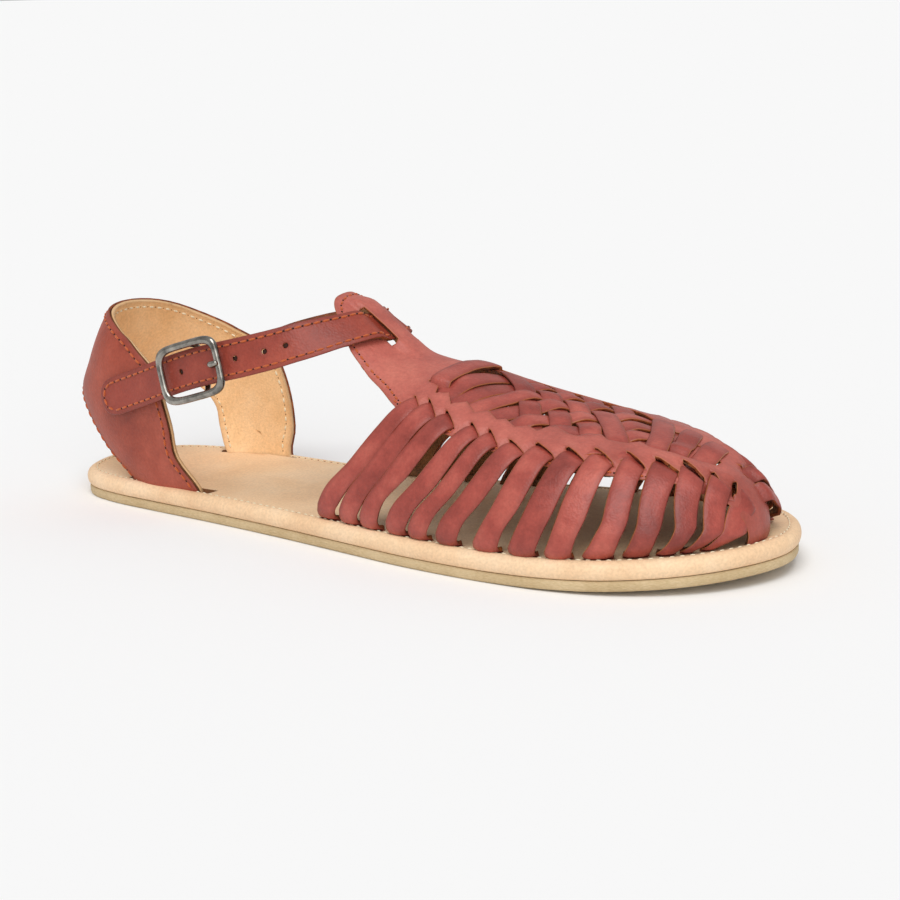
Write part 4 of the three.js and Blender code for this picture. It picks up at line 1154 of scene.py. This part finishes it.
def sew(stitches, needle_hole_shades, path, pitch=2.9, length=2.5, wide=0.75, hole=0.3):
    """Adds a row of stitches along dense places (point, normal) in mm."""
    walked, target = 0.0, pitch / 2
    for (p, n), (q, m) in zip(path, path[1:]):
        step = (q - p).length
        while step and walked + step >= target:
            share = (target - walked) / step
            middle, up = p.lerp(q, share), n.lerp(m, share).normalized()
            along = (q - p).normalized()
            side = up.cross(along).normalized()
            along = side.cross(up)
            turn = Matrix((along, side, up)).transposed().to_4x4()
            place_ball(stitches, middle + up * 0.02, turn, (length / 2, wide / 2, 0.42))
            place_ball(needle_hole_shades, middle + along * (pitch / 2), turn, (hole * 1.3, hole, 0.12))
            target += pitch
        walked += step


def line_on(place, points, steps=24):
    """A dense smooth line of places through pattern points."""
    line = [Vector((u, v, 0)) for u, v in points]
    count = (len(line) - 1) * steps
    return [place(*curve_point(line, k / count)[:2]) for k in range(count + 1)]


orange_thread = thread("waxed_orange_thread", [(0.2, "a8461a"), (0.8, "cc6526")])
cream_thread = thread("cream_linen_thread", [(0.2, "e2cfa8"), (0.8, "f6ead0")])
# A needle hole is a matt shadow of its own leather: brown in the pale leather, nearly black in the red.
tan_hole = leather("lining_hole_shade", [(0.2, "7a4a26"), (0.8, "9a6638")], 3, 0.4, 0.9, 0.2, "7a4a26")
brown_hole = leather("needle_hole_shade", [(0.2, "2c120a"), (0.8, "4a2414")], 3, 0.4, 0.9, 0.2, "2c120a")
orange, cream, red_hole_shade, pale_hole_shade = (bmesh.new() for _ in range(4))
for side in (-1, 1):
    edge = [(5.5, side * 4.3), (60, side * 4.4), (120, side * 4.4), (END - 3, side * 4.4)]
    sew(orange, red_hole_shade, line_on(on_strap, edge, 160))
sew(orange, red_hole_shade, line_on(on_strap, [(5.0, -3.9), (3.0, -2.6), (2.1, 0), (3.0, 2.6), (5.0, 3.9)]))
# Painted shade: a dark flattened ball inside the strap under each punched hole, for the shade seen through it.
for s in HOLES:
    p, n = on_strap(s, 0, 0.15)
    place_ball(red_hole_shade, p, n.to_track_quat("Z", "Y").to_matrix().to_4x4(), (0.85, 0.85, 0.25))
print("strap stitches", len(orange.faces) // 40)

# %% Counter and saddle stitches
def inside(points, distance):
    """A line that runs inside an outline at a distance from it."""
    line = []
    for i, (u, v) in enumerate(points):
        a, b = points[max(i - 1, 0)], points[min(i + 1, len(points) - 1)]
        d = Vector((b[0] - a[0], b[1] - a[1])).normalized()
        line.append((u + d.y * distance, v - d.x * distance))
    return line


for line in (inside(top, 2.0)[3:-3], inside(bottom, 2.0)[3:-3]):
    sew(orange, red_hole_shade, line_on(on_counter, line, 4), 3.1)
    lining_line = [(p, -n) for p, n in line_on(lambda u, z: on_counter(u, z, 2.35), line, 4)]
    sew(cream, pale_hole_shade, lining_line, 3.1, 1.8, 0.7, 0.22)
tab_edge = [(-1.5, 60.4), (-8.2, 62.2), (-12, 66), (-16.8, 71.5), (-19.2, 76), (-20.4, 82), (-20.7, 90), (-20.4, 98),
            (-19.2, 104), (-16.8, 108.5), (-12, 114), (-8.2, 117.8), (-1.5, 119.6)]
low_edge = [(-1.5, 60.4), (5.5, 58), (12, 53.8), (16, 51.2)]
band_edge = [(x, a + 1.7) for x, a in MARGIN[8:19]]
for line in (tab_edge, low_edge, mirrored(low_edge[:3]), band_edge, mirrored(band_edge)):
    sew(orange, red_hole_shade, line_on(on_saddle, flat(line)), 2.9, 1.8)
groove = [(p, Vector((0, 0, 1))) for p in sole_ring(3.3, 8.1)]
sew(cream, pale_hole_shade, groove + groove[:1], 2.8, 1.7, 0.5, 0.22)
finish_piece("orange_stitches", orange, [orange_thread])
finish_piece("cream_stitches", cream, [cream_thread])
finish_piece("needle_hole_shades", red_hole_shade, [brown_hole])
finish_piece("lining_needle_hole_shades", pale_hole_shade, [tan_hole])

# %% [markdown]
# ## Floor and light
# The sandal stands on a plain pale floor of white studio paper, which is matt with a faint tooth. Two very soft
# lamps and a pale surround give a studio's even light, with only a soft dark line under the sole.

# %% Floor and light
def soft_sun(name, place, power, angle):
    """A very soft lamp that lights the floor evenly, from the side that place gives."""
    lamp = bpy.data.objects.new(name, bpy.data.lights.new(name, "SUN"))
    scene.collection.objects.link(lamp)
    lamp.data.energy = power
    lamp.data.angle = radians(angle)
    lamp.location = place
    lamp.rotation_euler = Vector(place).to_track_quat("Z", "Y").to_euler()


bm = bmesh.new()
bmesh.ops.create_grid(bm, x_segments=2, y_segments=2, size=80)
mesh = bpy.data.meshes.new("floor")
bm.to_mesh(mesh)
bm.free()
ground = bpy.data.objects.new("floor", mesh)
scene.collection.objects.link(ground)
paper, tree, place = start_material("white_studio_paper")
fibre = add_node(tree, "TexNoise", {"Scale": 400, "Detail": 2}, {"Vector": place})
tooth = add_node(tree, "Bump", {"Strength": 0.05, "Distance": 0.0001}, {"Height": fibre.outputs["Fac"]})
mesh.materials.append(finish_material(paper, tree, "BsdfDiffuse", {"Color": linear("f4f4f4")},
                                      {"Normal": tooth.outputs[0]}))
scene.view_settings.view_transform = "Standard"
soft_sun("key", (0.25, -0.5, 1.0), 1.6, 40)
soft_sun("front", (0.8, -0.9, 0.5), 0.6, 40)
sky = bpy.data.worlds.new("studio")
scene.world = sky
sky.use_nodes = True
surround = sky.node_tree.nodes["Background"].inputs
surround["Color"].default_value = (1, 1, 1, 1)
surround["Strength"].default_value = 0.52
